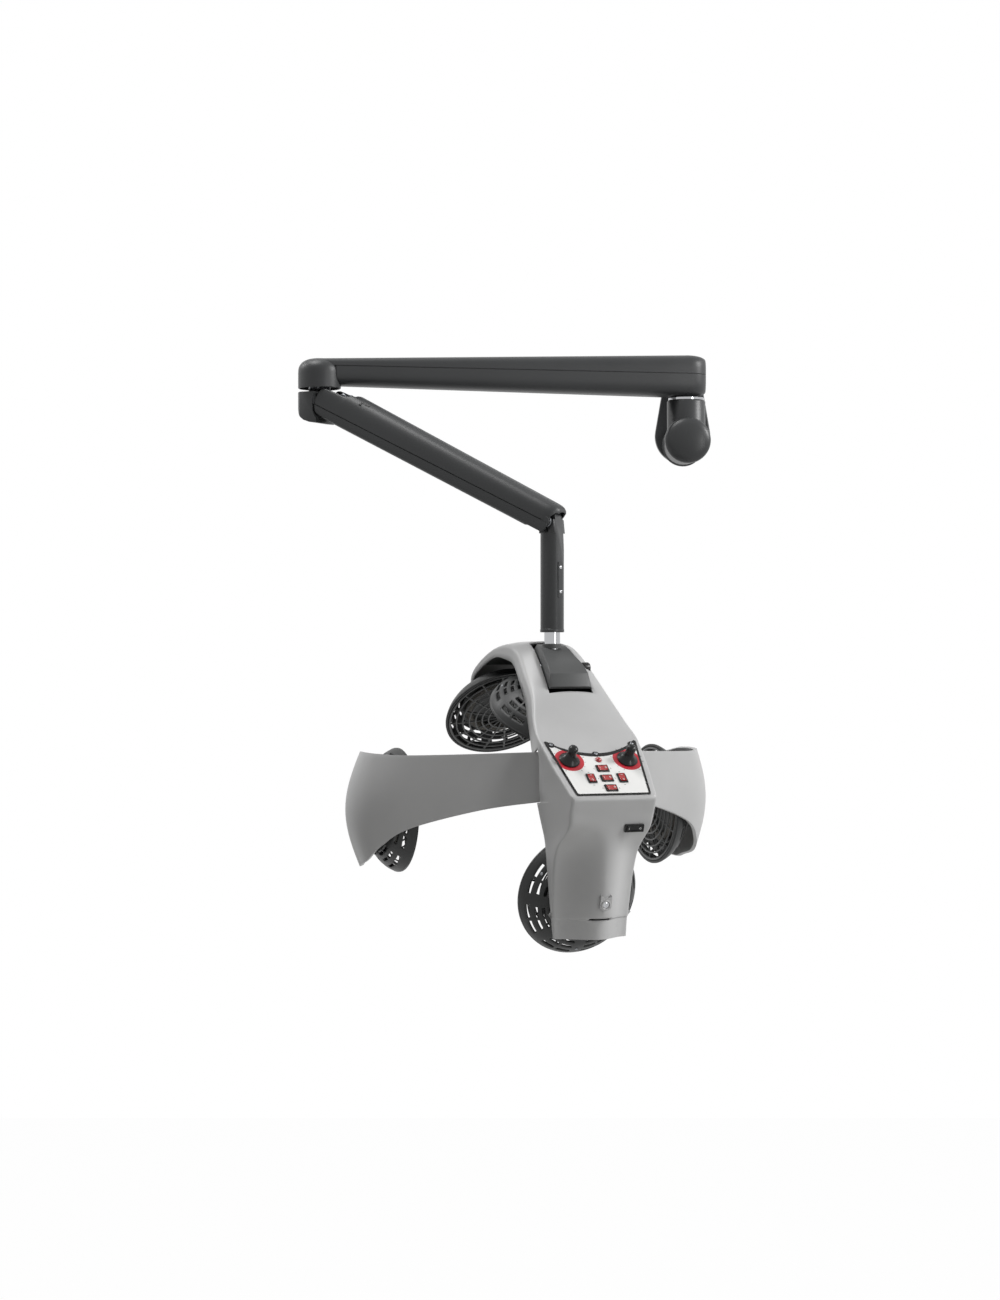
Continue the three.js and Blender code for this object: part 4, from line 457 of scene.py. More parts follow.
def lathe(form, profile, place, segments):
    """Turns (radius, z) points about z. A point on the axis is one vertex, and a profile that ends
    where it starts makes a ring."""
    is_ring = profile[0] == profile[-1]
    rows = []
    for radius, z in profile[:-1] if is_ring else profile:
        if radius < ON_AXIS:
            rows.append(add_points(form, [(0, 0, z)], place) * segments)
        else:
            rows.append(add_points(form, circle(radius, z, segments), place))
    skin(form, rows + rows[:1] if is_ring else rows, wrap=True, flip=True)


def loft(form, loops, place):
    """A closed skin through loops of equal length, with a face across each end."""
    rows = [add_points(form, loop, place) for loop in loops]
    skin(form, rows, wrap=True)
    add_face(form, rows[0])
    add_face(form, rows[-1][::-1])


def prism(form, outline, low, high, place):
    loft(form, [[(x, y, z) for x, y in outline] for z in (low, high)], place)


def tube(form, path, radius, place, sides=8, closed=False):
    """A round wire along a path of points."""
    path = [Vector(p) for p in path]
    count = len(path)
    rows = []
    side = None
    for i, point in enumerate(path):
        ahead = path[(i + 1) % count] if closed or i + 1 < count else point
        behind = path[i - 1] if closed or i > 0 else point
        run = (ahead - behind).normalized()
        guess = side if side else (UP if abs(run.z) < 0.9 else Vector((1, 0, 0)))
        side = (guess - run * guess.dot(run)).normalized()
        other = run.cross(side)
        turn = [2 * math.pi * k / sides for k in range(sides)]
        ring = [point + radius * (side * math.cos(a) + other * math.sin(a)) for a in turn]
        rows.append(add_points(form, ring, place))
    if closed:
        rows.append(rows[0])
    else:
        add_face(form, rows[0])
        add_face(form, rows[-1][::-1])
    skin(form, rows, wrap=True)


def oblong(start, end, half):
    return [(start, -half), (end, -half), (end, half), (start, half)]


def rounded(corners, radius, steps=5):
    """A polygon's outline with its corners rounded."""
    outline = []
    for i, corner in enumerate(corners):
        here = Vector(corner)
        before = Vector(corners[i - 1]) - here
        after = Vector(corners[(i + 1) % len(corners)]) - here
        start = here + before.normalized() * radius
        end = here + after.normalized() * radius
        for k in range(steps + 1):
            t = k / steps
            outline.append(start.lerp(here, t).lerp(here.lerp(end, t), t))
    return [(p.x, p.y) for p in outline]


def curve_through(points, share):
    """A smooth curve through tuples, at a share of 0 to len - 1."""
    last = len(points) - 1
    i = min(int(share), last - 1)
    t = share - i
    p1, p2 = points[i], points[i + 1]
    p0 = points[i - 1] if i > 0 else [2 * a - b for a, b in zip(p1, p2)]
    p3 = points[i + 2] if i + 2 <= last else [2 * b - a for a, b in zip(p1, p2)]
    return [
        0.5 * (2 * b + (c - a) * t + (2 * a - 5 * b + 4 * c - d) * t**2 + (3 * b - a - 3 * c + d) * t**3)
        for a, b, c, d in zip(p0, p1, p2, p3)
    ]


def blend(low, high, share):
    return low + (high - low) * share


def clamped(value, low=0, high=1):
    return min(max(value, low), high)


def finish_piece(name, form, body, maker, replaces=(), sharp=SMOOTH_LIMIT, normals=True):
    """Turns a form into a smooth piece that rides on a body and wears a finish. normals is off for an
    open sheet, whose faces already look outward."""
    if normals:
        bmesh.ops.recalc_face_normals(form, faces=form.faces)
    mesh = bpy.data.meshes.new(name)
    form.to_mesh(mesh)
    form.free()
    mesh.materials.append(finish(maker))
    piece = bpy.data.objects.new(name, mesh)
    bpy.context.scene.collection.objects.link(piece)
    smooth(piece, sharp)
    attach(piece, body)
    if replaces:
        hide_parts(*replaces)
    return piece


def smooth(piece, sharp):
    mesh = piece.data
    mesh.polygons.foreach_set("use_smooth", [True] * len(mesh.polygons))
    mesh.set_sharp_from_angle(angle=math.radians(sharp))


def bevelled(piece, width, segments=2, angle=40):
    rounding = piece.modifiers.new("edge rounding", "BEVEL")
    rounding.width = width
    rounding.segments = segments
    rounding.limit_method = "ANGLE"
    rounding.angle_limit = math.radians(angle)
    rounding.use_clamp_overlap = True
    return piece


def thickened(piece, wall):
    shell = piece.modifiers.new("wall", "SOLIDIFY")
    shell.thickness = wall
    shell.offset = -1
    shell.use_even_offset = True
    return piece


def screw(form, place, radius, height, recess=True):
    """A pan head, with a round recess for the driver or without, its foot at z 0."""
    lathe(
        form,
        [(0, 0), (radius, 0), (radius, 0.35 * height), (0.86 * radius, 0.75 * height),
         (0.5 * radius, height), (0.42 * radius, height)]
        + ([(0.3 * radius, 0.55 * height), (0, 0.5 * height)] if recess else [(0, height)]),
        place, 20,
    )


# Pieces


WELD_DISTANCE = 0.00002
EDGED_NODES = {  # width of the rounding in metres
    "elbow_knuckle": 0.0012,
    "stem": 0.0011,
    "lower_arm_channel": 0.0004,
}


def carried_nodes():
    """Gives every CAD node its finish, and those that stay in view softened edges."""
    for name, node in frame["nodes"].items():
        node.data.materials.clear()
        node.data.materials.append(finish(SLOT_FINISH[SLOT_OF[name]]))
        smooth(node, SMOOTH_LIMIT)
        weld = node.modifiers.new("weld", "WELD")
        weld.merge_threshold = WELD_DISTANCE
    for name, width in EDGED_NODES.items():
        bevelled(frame["nodes"][name], width, segments=3)


# Wall mounting: z 0 is the middle of the plate's round lower end, y 0 the wall.
PLATE_THICKNESS = 14.0
SHOULDER_REACH = 85.0
STUB_DROP = 15.0
NECK_RADIUS, NECK_TOP = 29.0, 47.0
GAP = 0.3  # between a piece and the one that it stands on


def teardrop(steps=40):
    """Outline of the wall plate: two round ends, the large one about the origin."""
    low, high, rise = 42.6, 30.0, 75.0
    lean = math.asin((low - high) / rise)
    outline = []
    for k in range(steps + 1):
        a = math.pi - lean + (math.pi + 2 * lean) * k / steps
        outline.append((low * math.cos(a), low * math.sin(a)))
    for k in range(steps + 1):
        a = lean + (math.pi - 2 * lean) * k / steps
        outline.append((high * math.cos(a), rise + high * math.sin(a)))
    return outline


def wall_mounting():
    edge = settings().skins.edge
    form = bmesh.new()
    prism(form, teardrop(), 0, PLATE_THICKNESS, turned(ROW, "X", 90))
    plate = finish_piece(
        "wall_plate_fine", form, "wall_mounting", satin_enamel, ["wall_plate"]
    )
    bevelled(plate, 2.2 * edge, segments=3)
    form = bmesh.new()
    stub = moved(ROW, (0, -PLATE_THICKNESS - GAP, -STUB_DROP), "X", 90)
    lathe(form, [(0, 0), (32, 0), (32, 3), (30, 5), (30, 97), (29, 99.7), (0, 99.7)], stub, 64)
    neck = moved(ROW, (0, -SHOULDER_REACH, 0))
    socket = [(28, NECK_TOP), (10, NECK_TOP), (10, 30), (0, 30)]
    lathe(form, [(0, -STUB_DROP), (NECK_RADIUS, -STUB_DROP), (NECK_RADIUS, 45.6), *socket], neck, 64)
    finish_piece(
        "wall_bracket_fine", form, "wall_mounting", satin_enamel, ["wall_bracket"]
    )
    form = bmesh.new()
    cap = moved(ROW, (0, -SHOULDER_REACH - NECK_RADIUS - GAP, -STUB_DROP), "X", 90)
    quarter = [math.pi / 2 * k / 10 for k in range(10)]
    dome = [(34.5 * math.cos(a), 7 + 13 * math.sin(a)) for a in quarter]
    lathe(form, [(0, 0), (34, 0), (34.5, 0.6), *dome, (0, 20)], cap, 64)
    finish_piece(
        "bracket_cap_fine", form, "wall_mounting", satin_enamel, ["bracket_cap"]
    )
    form = bmesh.new()
    ring = [(10, 0), (26.4, 0), (27, 0.6), (27, 3.8), (26.4, 4.4), (10, 4.4), (10, 0)]
    lathe(form, ring, moved(neck, (0, 0, NECK_TOP + GAP)), 64)
    finish_piece(
        "shoulder_washer_fine", form, "wall_mounting", chrome_plate, ["shoulder_washer"]
    )


PARTING = 86.0  # height of the plane where the upper arm's halves meet
PARTING_GAP = 0.15  # from that plane to each half
GROOVE_HALF, GROOVE_DEPTH = 0.6, 1.0
SHOULDER_HALF, ELBOW_HALF = 30.0, 24.0  # half widths of the upper arm at its ends
DOME_RADIUS, DOME_RISE, DOME_SKIRT = 31.3, 12.0, 32.5  # over the elbow, from the parting plane
DOME_WALL, DOME_CROWN, DOME_FULLNESS = 2.5, 22.0, 0.77
DOME_GAP = 0.7  # from the dome to the lower half's hollow end


def arm_section(x_of, half, low, high, squareness=3.4, steps=24):
    """Half of a rounded box from the parting plane outwards, stepped in where the halves meet."""
    edge = low + math.copysign(GROOVE_HALF, high - low)
    inner = half - min(GROOVE_DEPTH, 0.3 * half)
    loop = [(x_of(inner), inner, low), (x_of(inner), inner, edge)]
    for k in range(steps + 1):
        c = math.cos(math.pi * k / steps)
        y = half * math.copysign(abs(c) ** (2 / squareness), c)
        rise = max(math.sin(math.pi * k / steps), 0.0) ** (2 / squareness)
        loop.append((x_of(y), y, edge + (high - edge) * rise))
    return loop + [(x_of(-inner), -inner, edge), (x_of(-inner), -inner, low)]


def upper_cover(rise, rise_at_elbow, end_of):
    """One half of the upper arm: a round end about the shoulder, then a taper to end_of(y)."""
    base = PARTING + math.copysign(PARTING_GAP, rise)
    loops = []
    for degrees in (4, 12, 20, 30, 40, 52, 64, 77):
        a = math.radians(degrees)
        height = rise * (0.72 + 0.28 * math.sin(a))
        x = -SHOULDER_HALF * math.cos(a)
        half = SHOULDER_HALF * math.sin(a)
        loops.append(arm_section(lambda y, x=x: x, half, base, PARTING + height))
    for k in range(13):
        share = k / 12
        half = blend(SHOULDER_HALF, ELBOW_HALF, share)
        height = blend(rise, rise_at_elbow, share)
        loops.append(arm_section(lambda y, s=share: s * end_of(y), half, base, PARTING + height))
    form = bmesh.new()
    loft(form, loops, UPPER_ARM)
    return form


def upper_arm():
    length = UPPER_RUN.length * MM_PER_METRE
    form = upper_cover(rise=29.5, rise_at_elbow=11.5, end_of=lambda y: length - 2)
    elbow = moved(UPPER_ARM, (length, 0, 0))
    low, top = PARTING - DOME_SKIRT, PARTING + DOME_RISE
    shoulder = top - DOME_CROWN
    crown = []
    for a in [math.pi / 2 * k / 12 for k in range(12)]:
        radius = DOME_RADIUS * math.cos(a) ** DOME_FULLNESS
        crown.append((radius, shoulder + DOME_CROWN * math.sin(a) ** DOME_FULLNESS))
    wall = DOME_RADIUS - DOME_WALL
    lathe(
        form,
        [(wall, low), (DOME_RADIUS - 0.8, low), (DOME_RADIUS, low + 0.8), *crown, (0, top),
         (0, top - 3), (0.7 * wall, top - 6), (wall, shoulder), (wall, low)],
        elbow, 72,
    )
    finish_piece(
        "upper_arm_top_fine", form, "upper_arm", moulded_nylon,
        ["upper_arm_cover_top"],
    )

    def hollow(y):
        return length - math.sqrt((DOME_RADIUS + DOME_GAP) ** 2 - y**2)

    form = upper_cover(rise=-34, rise_at_elbow=-28, end_of=hollow)
    finish_piece(
        "upper_arm_bottom_fine", form, "upper_arm", moulded_nylon,
        ["upper_arm_cover_bottom"],
    )


# Lower arm: x runs from the tilt pin to the stem pin, z up from the line between them.
LOWER_LENGTH, LOWER_HALF = 406.7, 24.5
COVER_START = -11.5
CHEEK_START, CHEEK_ENDS = -10.5, 44.0
CHEEK_TOP = [  # x, height of the cheeks' upper edge
    (CHEEK_START, 18), (-9.8, 22), (-7.5, 25.4), (-3, 27.2), (6, 27.8), (30, 28.8), (34, 30), (38, 33.4),
    (CHEEK_ENDS, 35),
]
CHEEK_END = [  # height, x of the cheeks' round end
    (-16, 16), (-15, 8), (-13.5, 4), (-9, -4), (-3, -8.2), (3, -9.9), (12, -10.5), (30, -9.5),
]
VISOR_END = LOWER_LENGTH + 10
VISOR = [  # distance from the visor's end, shares of the full height and width there
    (18, 1, 1), (13, 0.995, 0.985), (9, 0.98, 0.95), (6, 0.955, 0.9), (3, 0.9, 0.8), (1, 0.82, 0.68),
    (0, 0.74, 0.6),
]
VISOR_LENGTH = VISOR[0][0]
LUG_FOOT = [(0, 0), (398, 0), (406, 1.5), (409, 5), (411, 10), (413, 16), (418, 17)]  # x, lowest edge
TOP_SQUARENESS, BOTTOM_SQUARENESS = 2.9, 5
TOP_HEIGHTS, BOTTOM_HEIGHTS = (38, 26), (-15, -19)  # at the two ends of each cover
BOTTOM_END, BOTTOM_ROUNDING = LOWER_LENGTH + 5.5, 6
BOTTOM_CURL = 0.45  # share of its height that the bottom cover loses at its end
BOTTOM_TURN = 0.7  # radians from its edge to the columns between
TOP_OPENINGS, BOTTOM_OPENINGS = [(-1, CHEEK_ENDS)], [(-1, 29), (376, BOTTOM_END)]  # along the arm
COVER_LIP = 0.75  # from the line between the pins to each cover's edge
TOP_WALL, BOTTOM_WALL = 0.002, 0.0025  # metres
LATCH_PLACE, LATCH_LEAN, LATCH_DEPTH, LATCH_RISE = (66, -15.9, 32.2), 38, -1.2, 0.3
ROLLER_PLACE, ROLLER_SIDE = (24, 0, 25), 10
# The stem pin's caps are painted shade: dark discs that hide the bright pin ends in the shaded gap by the stem.
PIN_SHADE_CAP_SIDE = 22.4


def along_table(table, at):
    """Straight-line reading of a table of (input, output) pairs."""
    for (a, low), (b, high) in zip(table, table[1:]):
        if at <= b:
            return blend(low, high, max(at - a, 0) / (b - a))
    return table[-1][1]


def lower_cover(squareness, height_of, turn_of, visor, openings, places):
    """A moulded half cover as a sheet: side columns, then the columns between, then the other side.
    The columns between start at turn_of(x), and are left out along the openings."""
    side_columns, middle_columns = 9, 10
    form = bmesh.new()
    rows = []
    for share in places:
        in_cheek = share <= CHEEK_ENDS
        x = blend(CHEEK_START, CHEEK_ENDS, share / CHEEK_ENDS) if in_cheek else share
        height, narrow = height_of(x), 1.0
        for back, rise, width in visor:
            if x >= VISOR_END - back - ROUNDING_ERROR:
                height, narrow = height_of(x) * rise, width
        turn = turn_of(x)
        sign = math.copysign(1, height)
        foot = along_table(LUG_FOOT, x) / abs(height) if visor else 0
        first = min(math.asin(foot ** (squareness / 2)), 0.8 * turn)
        sides = [blend(first, turn, j / side_columns) for j in range(side_columns)]
        middle = [blend(turn, math.pi - turn, j / middle_columns) for j in range(middle_columns + 1)]
        angles = sides + middle + [math.pi - a for a in reversed(sides)]
        section = []
        for a in angles:
            c = math.cos(a)
            y = LOWER_HALF * narrow * math.copysign(abs(c) ** (2 / squareness), c)
            rise = max(math.sin(a), 0) ** (2 / squareness)
            section.append((y, blend(COVER_LIP * sign, height, rise)))
        side, low = section[0]
        edge = [(side - GROOVE_DEPTH, low - GROOVE_HALF * sign), (side - GROOVE_DEPTH, low)]
        section = edge + section + [(-y, z) for y, z in reversed(edge)]
        row = []
        for y, z in section:
            in_end = blend(along_table(CHEEK_END, z), CHEEK_ENDS, share / CHEEK_ENDS)
            row.append((in_end if in_cheek else x, y, z))
        rows.append(add_points(form, row, LOWER_ARM))
    first, last = 2 + side_columns, 2 + side_columns + middle_columns

    def is_open(i, j):
        reach = (places[i] + places[i + 1]) / 2
        return first <= j < last and any(low < reach < high for low, high in openings)

    skin(form, rows, is_open=is_open)
    return form


def lower_covers():
    near = [0, 1, 2.2, 4, 6.5, 10, 13, 16, 19, 23, 28, 34, 40, CHEEK_ENDS]

    def top_height(x):
        return blend(*TOP_HEIGHTS, (x - COVER_START) / (VISOR_END - COVER_START))

    def top_turn(x):
        at = min(x, CHEEK_ENDS)
        return math.asin(min(along_table(CHEEK_TOP, at) / top_height(at), 0.99) ** (TOP_SQUARENESS / 2))

    run = [blend(CHEEK_ENDS, VISOR_END - VISOR_LENGTH, k / 24) for k in range(1, 25)]
    tip = [VISOR_END - back for back, _, _ in VISOR[1:]]
    form = lower_cover(TOP_SQUARENESS, top_height, top_turn, VISOR, TOP_OPENINGS, near + run + tip)
    cover = finish_piece(
        "lower_arm_top_fine", form, "lower_arm", moulded_nylon,
        ["lower_arm_cover_top"], sharp=50,
    )
    thickened(cover, TOP_WALL)

    def bottom_height(x):
        droop = blend(*BOTTOM_HEIGHTS, (x - COVER_START) / (BOTTOM_END - COVER_START))
        into_end = max(0, (x - BOTTOM_END + BOTTOM_ROUNDING) / BOTTOM_ROUNDING)
        return droop * (1 - BOTTOM_CURL * into_end**1.5)

    run = [blend(CHEEK_ENDS, BOTTOM_END - BOTTOM_ROUNDING, k / 24) for k in range(1, 25)]
    tip = [BOTTOM_END - back for back in (4, 2, 0.8, 0)]
    form = lower_cover(
        BOTTOM_SQUARENESS, bottom_height, lambda x: BOTTOM_TURN, (), BOTTOM_OPENINGS, near + run + tip
    )
    cover = finish_piece(
        "lower_arm_bottom_fine", form, "lower_arm", moulded_nylon,
        ["lower_arm_cover_bottom"], sharp=50,
    )
    thickened(cover, BOTTOM_WALL)


def lower_arm_details():
    form = bmesh.new()
    latch = moved(LOWER_ARM, LATCH_PLACE, "X", LATCH_LEAN)
    slide = rounded(oblong(-8, 8, 1.7), 1.6)
    thumb_tab = rounded([(-8, -6), (-4.8, -6), (-4.8, 0), (-8, 0)], 1.4)
    for outline in (slide, thumb_tab):
        prism(form, outline, LATCH_DEPTH, LATCH_RISE, latch)
    finish_piece("lower_arm_latch", form, "lower_arm", gloss_abs)
    form = bmesh.new()
    axle = moved(LOWER_ARM, ROLLER_PLACE, "X", 90)
    lathe(form, [(0, -15), (3, -15), (3, 15), (0, 15)], axle, 32)
    wheel = [(3, -2.5), (5.4, -2.5), (6, -1.9), (6, 1.9), (5.4, 2.5), (3, 2.5), (3, -2.5)]
    for side in SIDES.values():
        lathe(form, wheel, moved(axle, (0, 0, ROLLER_SIDE * side)), 40)
    finish_piece("lower_arm_roller", form, "lower_arm", zinc_plate)
    # Charcoal caps over the stem pin's ends: painted shade for the gap between the visor and the stem.
    form = bmesh.new()
    for side in SIDES.values():
        cap = moved(LOWER_ARM, (LOWER_LENGTH, PIN_SHADE_CAP_SIDE * side, 0), "X", -90 * side)
        lathe(form, [(0, 0), (7, 0), (7, 0.8), (6.4, 1.4), (0, 1.4)], cap, 40)
    finish_piece("stem_pin_shade_caps", form, "lower_arm", moulded_nylon)


# Stem: z down from the pin that hangs it on the lower arm.
POST_RADIUS, POST_CHAMFER = 11.2, 1.0
POST_BOTTOM, POST_TOP = -185.5, -48.5
RIVET_TURN = -19  # degrees about the stem, of the rivets and the middle of their plate
RIVET_HEIGHTS = (-64, -98)
RIVET_SEAT = 16.8
STEM_PLATE_ENDS, STEM_PLATE_HALF = (-106, -56), 14  # heights, and degrees to each side
STEM_PLATE_OUTSIDE, STEM_PLATE_INSIDE = 17.1, 15.5


def stem_and_post():
    form = bmesh.new()
    lathe(
        form,
        [(0, POST_BOTTOM), (POST_RADIUS - POST_CHAMFER, POST_BOTTOM),
         (POST_RADIUS, POST_BOTTOM + POST_CHAMFER), (POST_RADIUS, POST_TOP - POST_CHAMFER),
         (POST_RADIUS - POST_CHAMFER, POST_TOP), (0, POST_TOP)],
        STEM, 64,
    )
    finish_piece("post_fine", form, "swivel", chrome_plate, ["post"])
    form = bmesh.new()
    for height in RIVET_HEIGHTS:
        rivet = moved(turned(STEM, "Z", RIVET_TURN), (RIVET_SEAT, 0, height), "Y", 90)
        screw(form, rivet, 2.4, 1.1, recess=False)
    finish_piece("stem_rivets", form, "stem_body", chrome_plate)
    form = bmesh.new()
    rows = []
    arc = [math.radians(RIVET_TURN + STEM_PLATE_HALF * (k / 4 - 1)) for k in range(9)]
    for z in STEM_PLATE_ENDS:
        outer = [(STEM_PLATE_OUTSIDE * math.cos(a), STEM_PLATE_OUTSIDE * math.sin(a), z) for a in arc]
        inner = [(STEM_PLATE_INSIDE * math.cos(a), STEM_PLATE_INSIDE * math.sin(a), z) for a in arc]
        rows.append(outer + inner[::-1])
    loft(form, rows, STEM)
    finish_piece("stem_plate", form, "stem_body", satin_enamel)
    form = bmesh.new()
    collar = [
        (14.5, -154.4), (16.4, -154.4), (16.9, -153.8), (16.9, -150.4), (16.4, -149.8), (14.5, -149.8),
        (14.5, -154.4),
    ]
    lathe(form, collar, STEM, 64)
    finish_piece("stem_collar", form, "stem_body", satin_enamel)


SHOE_REAR, SHOE_LENGTH = -20, 85
SHOE_SECTIONS = [  # forward, crown, underside
    (SHOE_REAR, -3, -18), (-15, 0, -20), (-4.5, -0.8, -26), (8.4, -5.2, -35), (26.4, -16, -44),
    (46.2, -27.6, -55), (60, -40, -59.5),
]
SHOE_FRONT = [(62.5, -49, -60.3), (65, -58, -61)]  # sections of the shoe's blunt front
SHOE_CROWN_HALF, SHOE_FOOT_HALF = (16, 29.5), (22, 31.3)  # half widths at the rear and the front
SHOE_FLANK = 10  # most that the flank drops from the crown
SHOE_BULGE, BULGE_START, BULGE_RUN = 3.4, 30, 35
BOSS_RADIUS, BOSS_GAP = 11, 0.6  # of the boss that the axle runs through, the gap to the opening


def shoe_loop(u, crown, underside):
    """A section of the shoe whose crown bows forward towards its front."""
    share = (u - SHOE_REAR) / SHOE_LENGTH
    top, foot = blend(*SHOE_CROWN_HALF, share), blend(*SHOE_FOOT_HALF, share)
    flank = crown - min(SHOE_FLANK, (crown - underside) / 2)
    bow = SHOE_BULGE * max(0, (u - BULGE_START) / BULGE_RUN) ** 1.5
    across = [1 - 2 * k / 12 for k in range(13)]
    ridge = [(u + bow * (1 - s * s), top * s, crown) for s in across]
    return [(u, foot, underside), (u, foot, flank), *ridge, (u, -foot, flank), (u, -foot, underside)]


def tilt_shoe():
    last = len(SHOE_SECTIONS) - 1
    loops = [shoe_loop(*curve_through(SHOE_SECTIONS, last * k / 30)) for k in range(31)]
    loops += [shoe_loop(*section) for section in SHOE_FRONT]
    form = bmesh.new()
    loft(form, loops, HOOD)
    axle = moved(HOOD, (AXLE_FORWARD, 0, AXLE_HEIGHT), "X", 90)
    boss = opening_half(AXLE_FORWARD - BOSS_RADIUS) - BOSS_GAP
    lathe(form, [(0, -boss), (BOSS_RADIUS, -boss), (BOSS_RADIUS, boss), (0, boss)], axle, 48)
    lathe(form, [(11.4, -6), (13.4, -6), (13.4, 0.4), (12.8, 1), (11.4, 1), (11.4, -6)], HOOD, 48)
    shoe = finish_piece(
        "tilt_shoe_fine", form, "swivel", shoe_nylon, ["tilt_shoe"], sharp=30
    )
    bevelled(shoe, 1.8 * settings().skins.edge, segments=3, angle=26)


# Hood stations: face (forward, height), edge with half width, rim with half width, nosed share.
HOOD_STATIONS = [
    (-234, -88, -217, -68, 39, -213, -71, 37, 0),
    (-205, -43, -196, -43, 45, -190, -49, 44, 0),
    (-162, -15.5, -157, -23, 47, -152, -33, 47, 0),
    (-105, 1.5, -103, -6, 47, -100, -18, 48, 0),
    (-50, 4.5, -50, -1.5, 47, -48, -22, 48.5, 0),
    (-8, 1, -12, -14, 48, -22, -29, 49.5, 0),
    (30, -24, 24, -40, 53, 8, -50, 54, 0),
    (67, -62, 63, -70, 58, 40, -79, 58, 0),
    (100, -100, 97, -106, 69.5, 62, -113, 62, 0),
    (128.04, -130.6, 128.04, -130.6, 74.5, 84, -147, 66, 0),
    (170.56, -167.04, 170.56, -167.04, 70, 102, -180, 69, 0),
    (213.08, -203.49, 213.08, -203.49, 62, 110, -212, 70, 0),
    (207, -222, 206, -222, 61.5, 115, -237, 66.5, 1),
    (199, -245, 196, -245, 60, 118, -262, 62, 1),
    (192, -275, 160, -273, 61, 121, -282, 61, 1),
    (187, -307, 145, -303, 60, 123, -307, 60, 1),
    (181, -346, 136, -345, 57.5, 126, -345, 58, 1),
    (172.5, -367, 133.5, -368, 55.3, 127, -368, 56.2, 1),
    (166, -371, 131.5, -372, 54.7, 127, -372, 55.8, 1),
    (160, -397, 131, -397, 53, 128, -396, 54, 1),
]
PANEL_TOP, RIDGE = 9, 11  # stations where the panel starts and where it ends
NOSE_SHARES = (16, 19)  # the stretch that holds the nose's slot
FACE_U, FACE_H, RIM_U = 0, 1, 5
RIDGE_ROUNDING = (0.1, 0.3)  # shares of the stations before and after the ridge
OPENING_REAR, OPENING_FRONT = -26, 69.4  # of the shoe's opening, along the hood
OPENING_HALF, OPENING_RUN = (24.5, 33.2), 95  # half widths, and how far forward it widens
SLOT_HALF, SLOT_TOP, SLOT_BOTTOM = 16.0, -367.5, -370.5
NOTCH_FRONT, NOTCH_REAR, NOTCH_TOP, NOTCH_BOTTOM = 117.0, 88.0, -144.5, -214.2  # round a wing's hinge
NOTCH_FRONT_LIMITS, NOTCH_REAR_LIMITS = (0.35, 0.9), (0.6, 0.97)  # shares of the side wall
WIDE_COLUMN, SLOT_COLUMN = 6, 3  # columns of a half section at the edge of the opening and of the slot
STEPS_PER_STATION = 7
SAME_SHARE = 1e-9


def opening_half(u):
    """Half width of the shoe's opening, which widens forward."""
    return blend(*OPENING_HALF, clamped((u - OPENING_REAR) / OPENING_RUN))


def sharp_station(t):
    if t <= PANEL_TOP:
        return curve_through(HOOD_STATIONS[: PANEL_TOP + 2], t)
    if t <= RIDGE:
        i = min(int(t), RIDGE - 1)
        return [blend(a, b, t - i) for a, b in zip(HOOD_STATIONS[i], HOOD_STATIONS[i + 1])]
    return curve_through(HOOD_STATIONS[RIDGE:], t - RIDGE)


def hood_station(t):
    before, after = RIDGE - RIDGE_ROUNDING[0], RIDGE + RIDGE_ROUNDING[1]
    if not before < t < after:
        return sharp_station(t)
    s = (t - before) / (after - before)
    corners = zip(sharp_station(before), sharp_station(RIDGE), sharp_station(after))
    return [a * (1 - s) ** 2 + 2 * b * s * (1 - s) + c * s**2 for a, b, c in corners]


def where(reading, target, low, high):
    """The station share at which a reading reaches a value, between two shares."""
    rising = reading(high) > reading(low)
    for _ in range(40):
        middle = (low + high) / 2
        if (reading(middle) < target) == rising:
            low = middle
        else:
            high = middle
    return (low + high) / 2


def face_forward(t):
    return hood_station(t)[FACE_U]


def face_height(t):
    return hood_station(t)[FACE_H]


def notch_height(t):
    """Height of the side wall midway along the wing's notch."""
    _, _, eu, eh, _, ru, rh, _, _ = hood_station(t)
    share = clamped((eu - (NOTCH_FRONT + NOTCH_REAR) / 2) / (eu - ru))
    return blend(eh, rh, share)


def hood_section(t, corner):
    """Half a cross-section: face, rounded corner, then the side wall past the notch to the rim."""
    fu, fh, eu, eh, half, ru, rh, rim_half, nosed = hood_station(t)
    edge, rim = Vector((eu, half, eh)), Vector((ru, rim_half, rh))

    def face(w):
        share = w / half
        swell = (1 - nosed) * (1 - share**2) + nosed * (1 + math.cos(math.pi * share)) / 2
        return Vector((blend(eu, fu, swell), w, blend(eh, fh, swell)))

    inner = half - corner
    wide = min(opening_half(fu), inner - 1)
    between = [blend(SLOT_HALF, wide, k / 3) for k in (1, 2, 3)]
    columns = [face(w) for w in (0, 5.3, 10.7, SLOT_HALF, *between)]
    columns += [face(blend(wide, inner, k / 3)) for k in (1, 2, 3)]
    down = rim - edge
    turn_end = edge + down.normalized() * min(corner, 0.3 * down.length)
    start = face(inner)
    columns += [start.lerp(edge, k / 5).lerp(edge.lerp(turn_end, k / 5), k / 5) for k in range(1, 6)]
    front, rear = [(eu - u) / max(eu - ru, ROUNDING_ERROR) for u in (NOTCH_FRONT, NOTCH_REAR)]
    notch = edge.lerp(rim, clamped(front, *NOTCH_FRONT_LIMITS))
    columns += [turn_end.lerp(notch, k / 3) for k in (1, 2, 3)]
    columns += [edge.lerp(rim, clamped(rear, *NOTCH_REAR_LIMITS)), rim]
    return columns


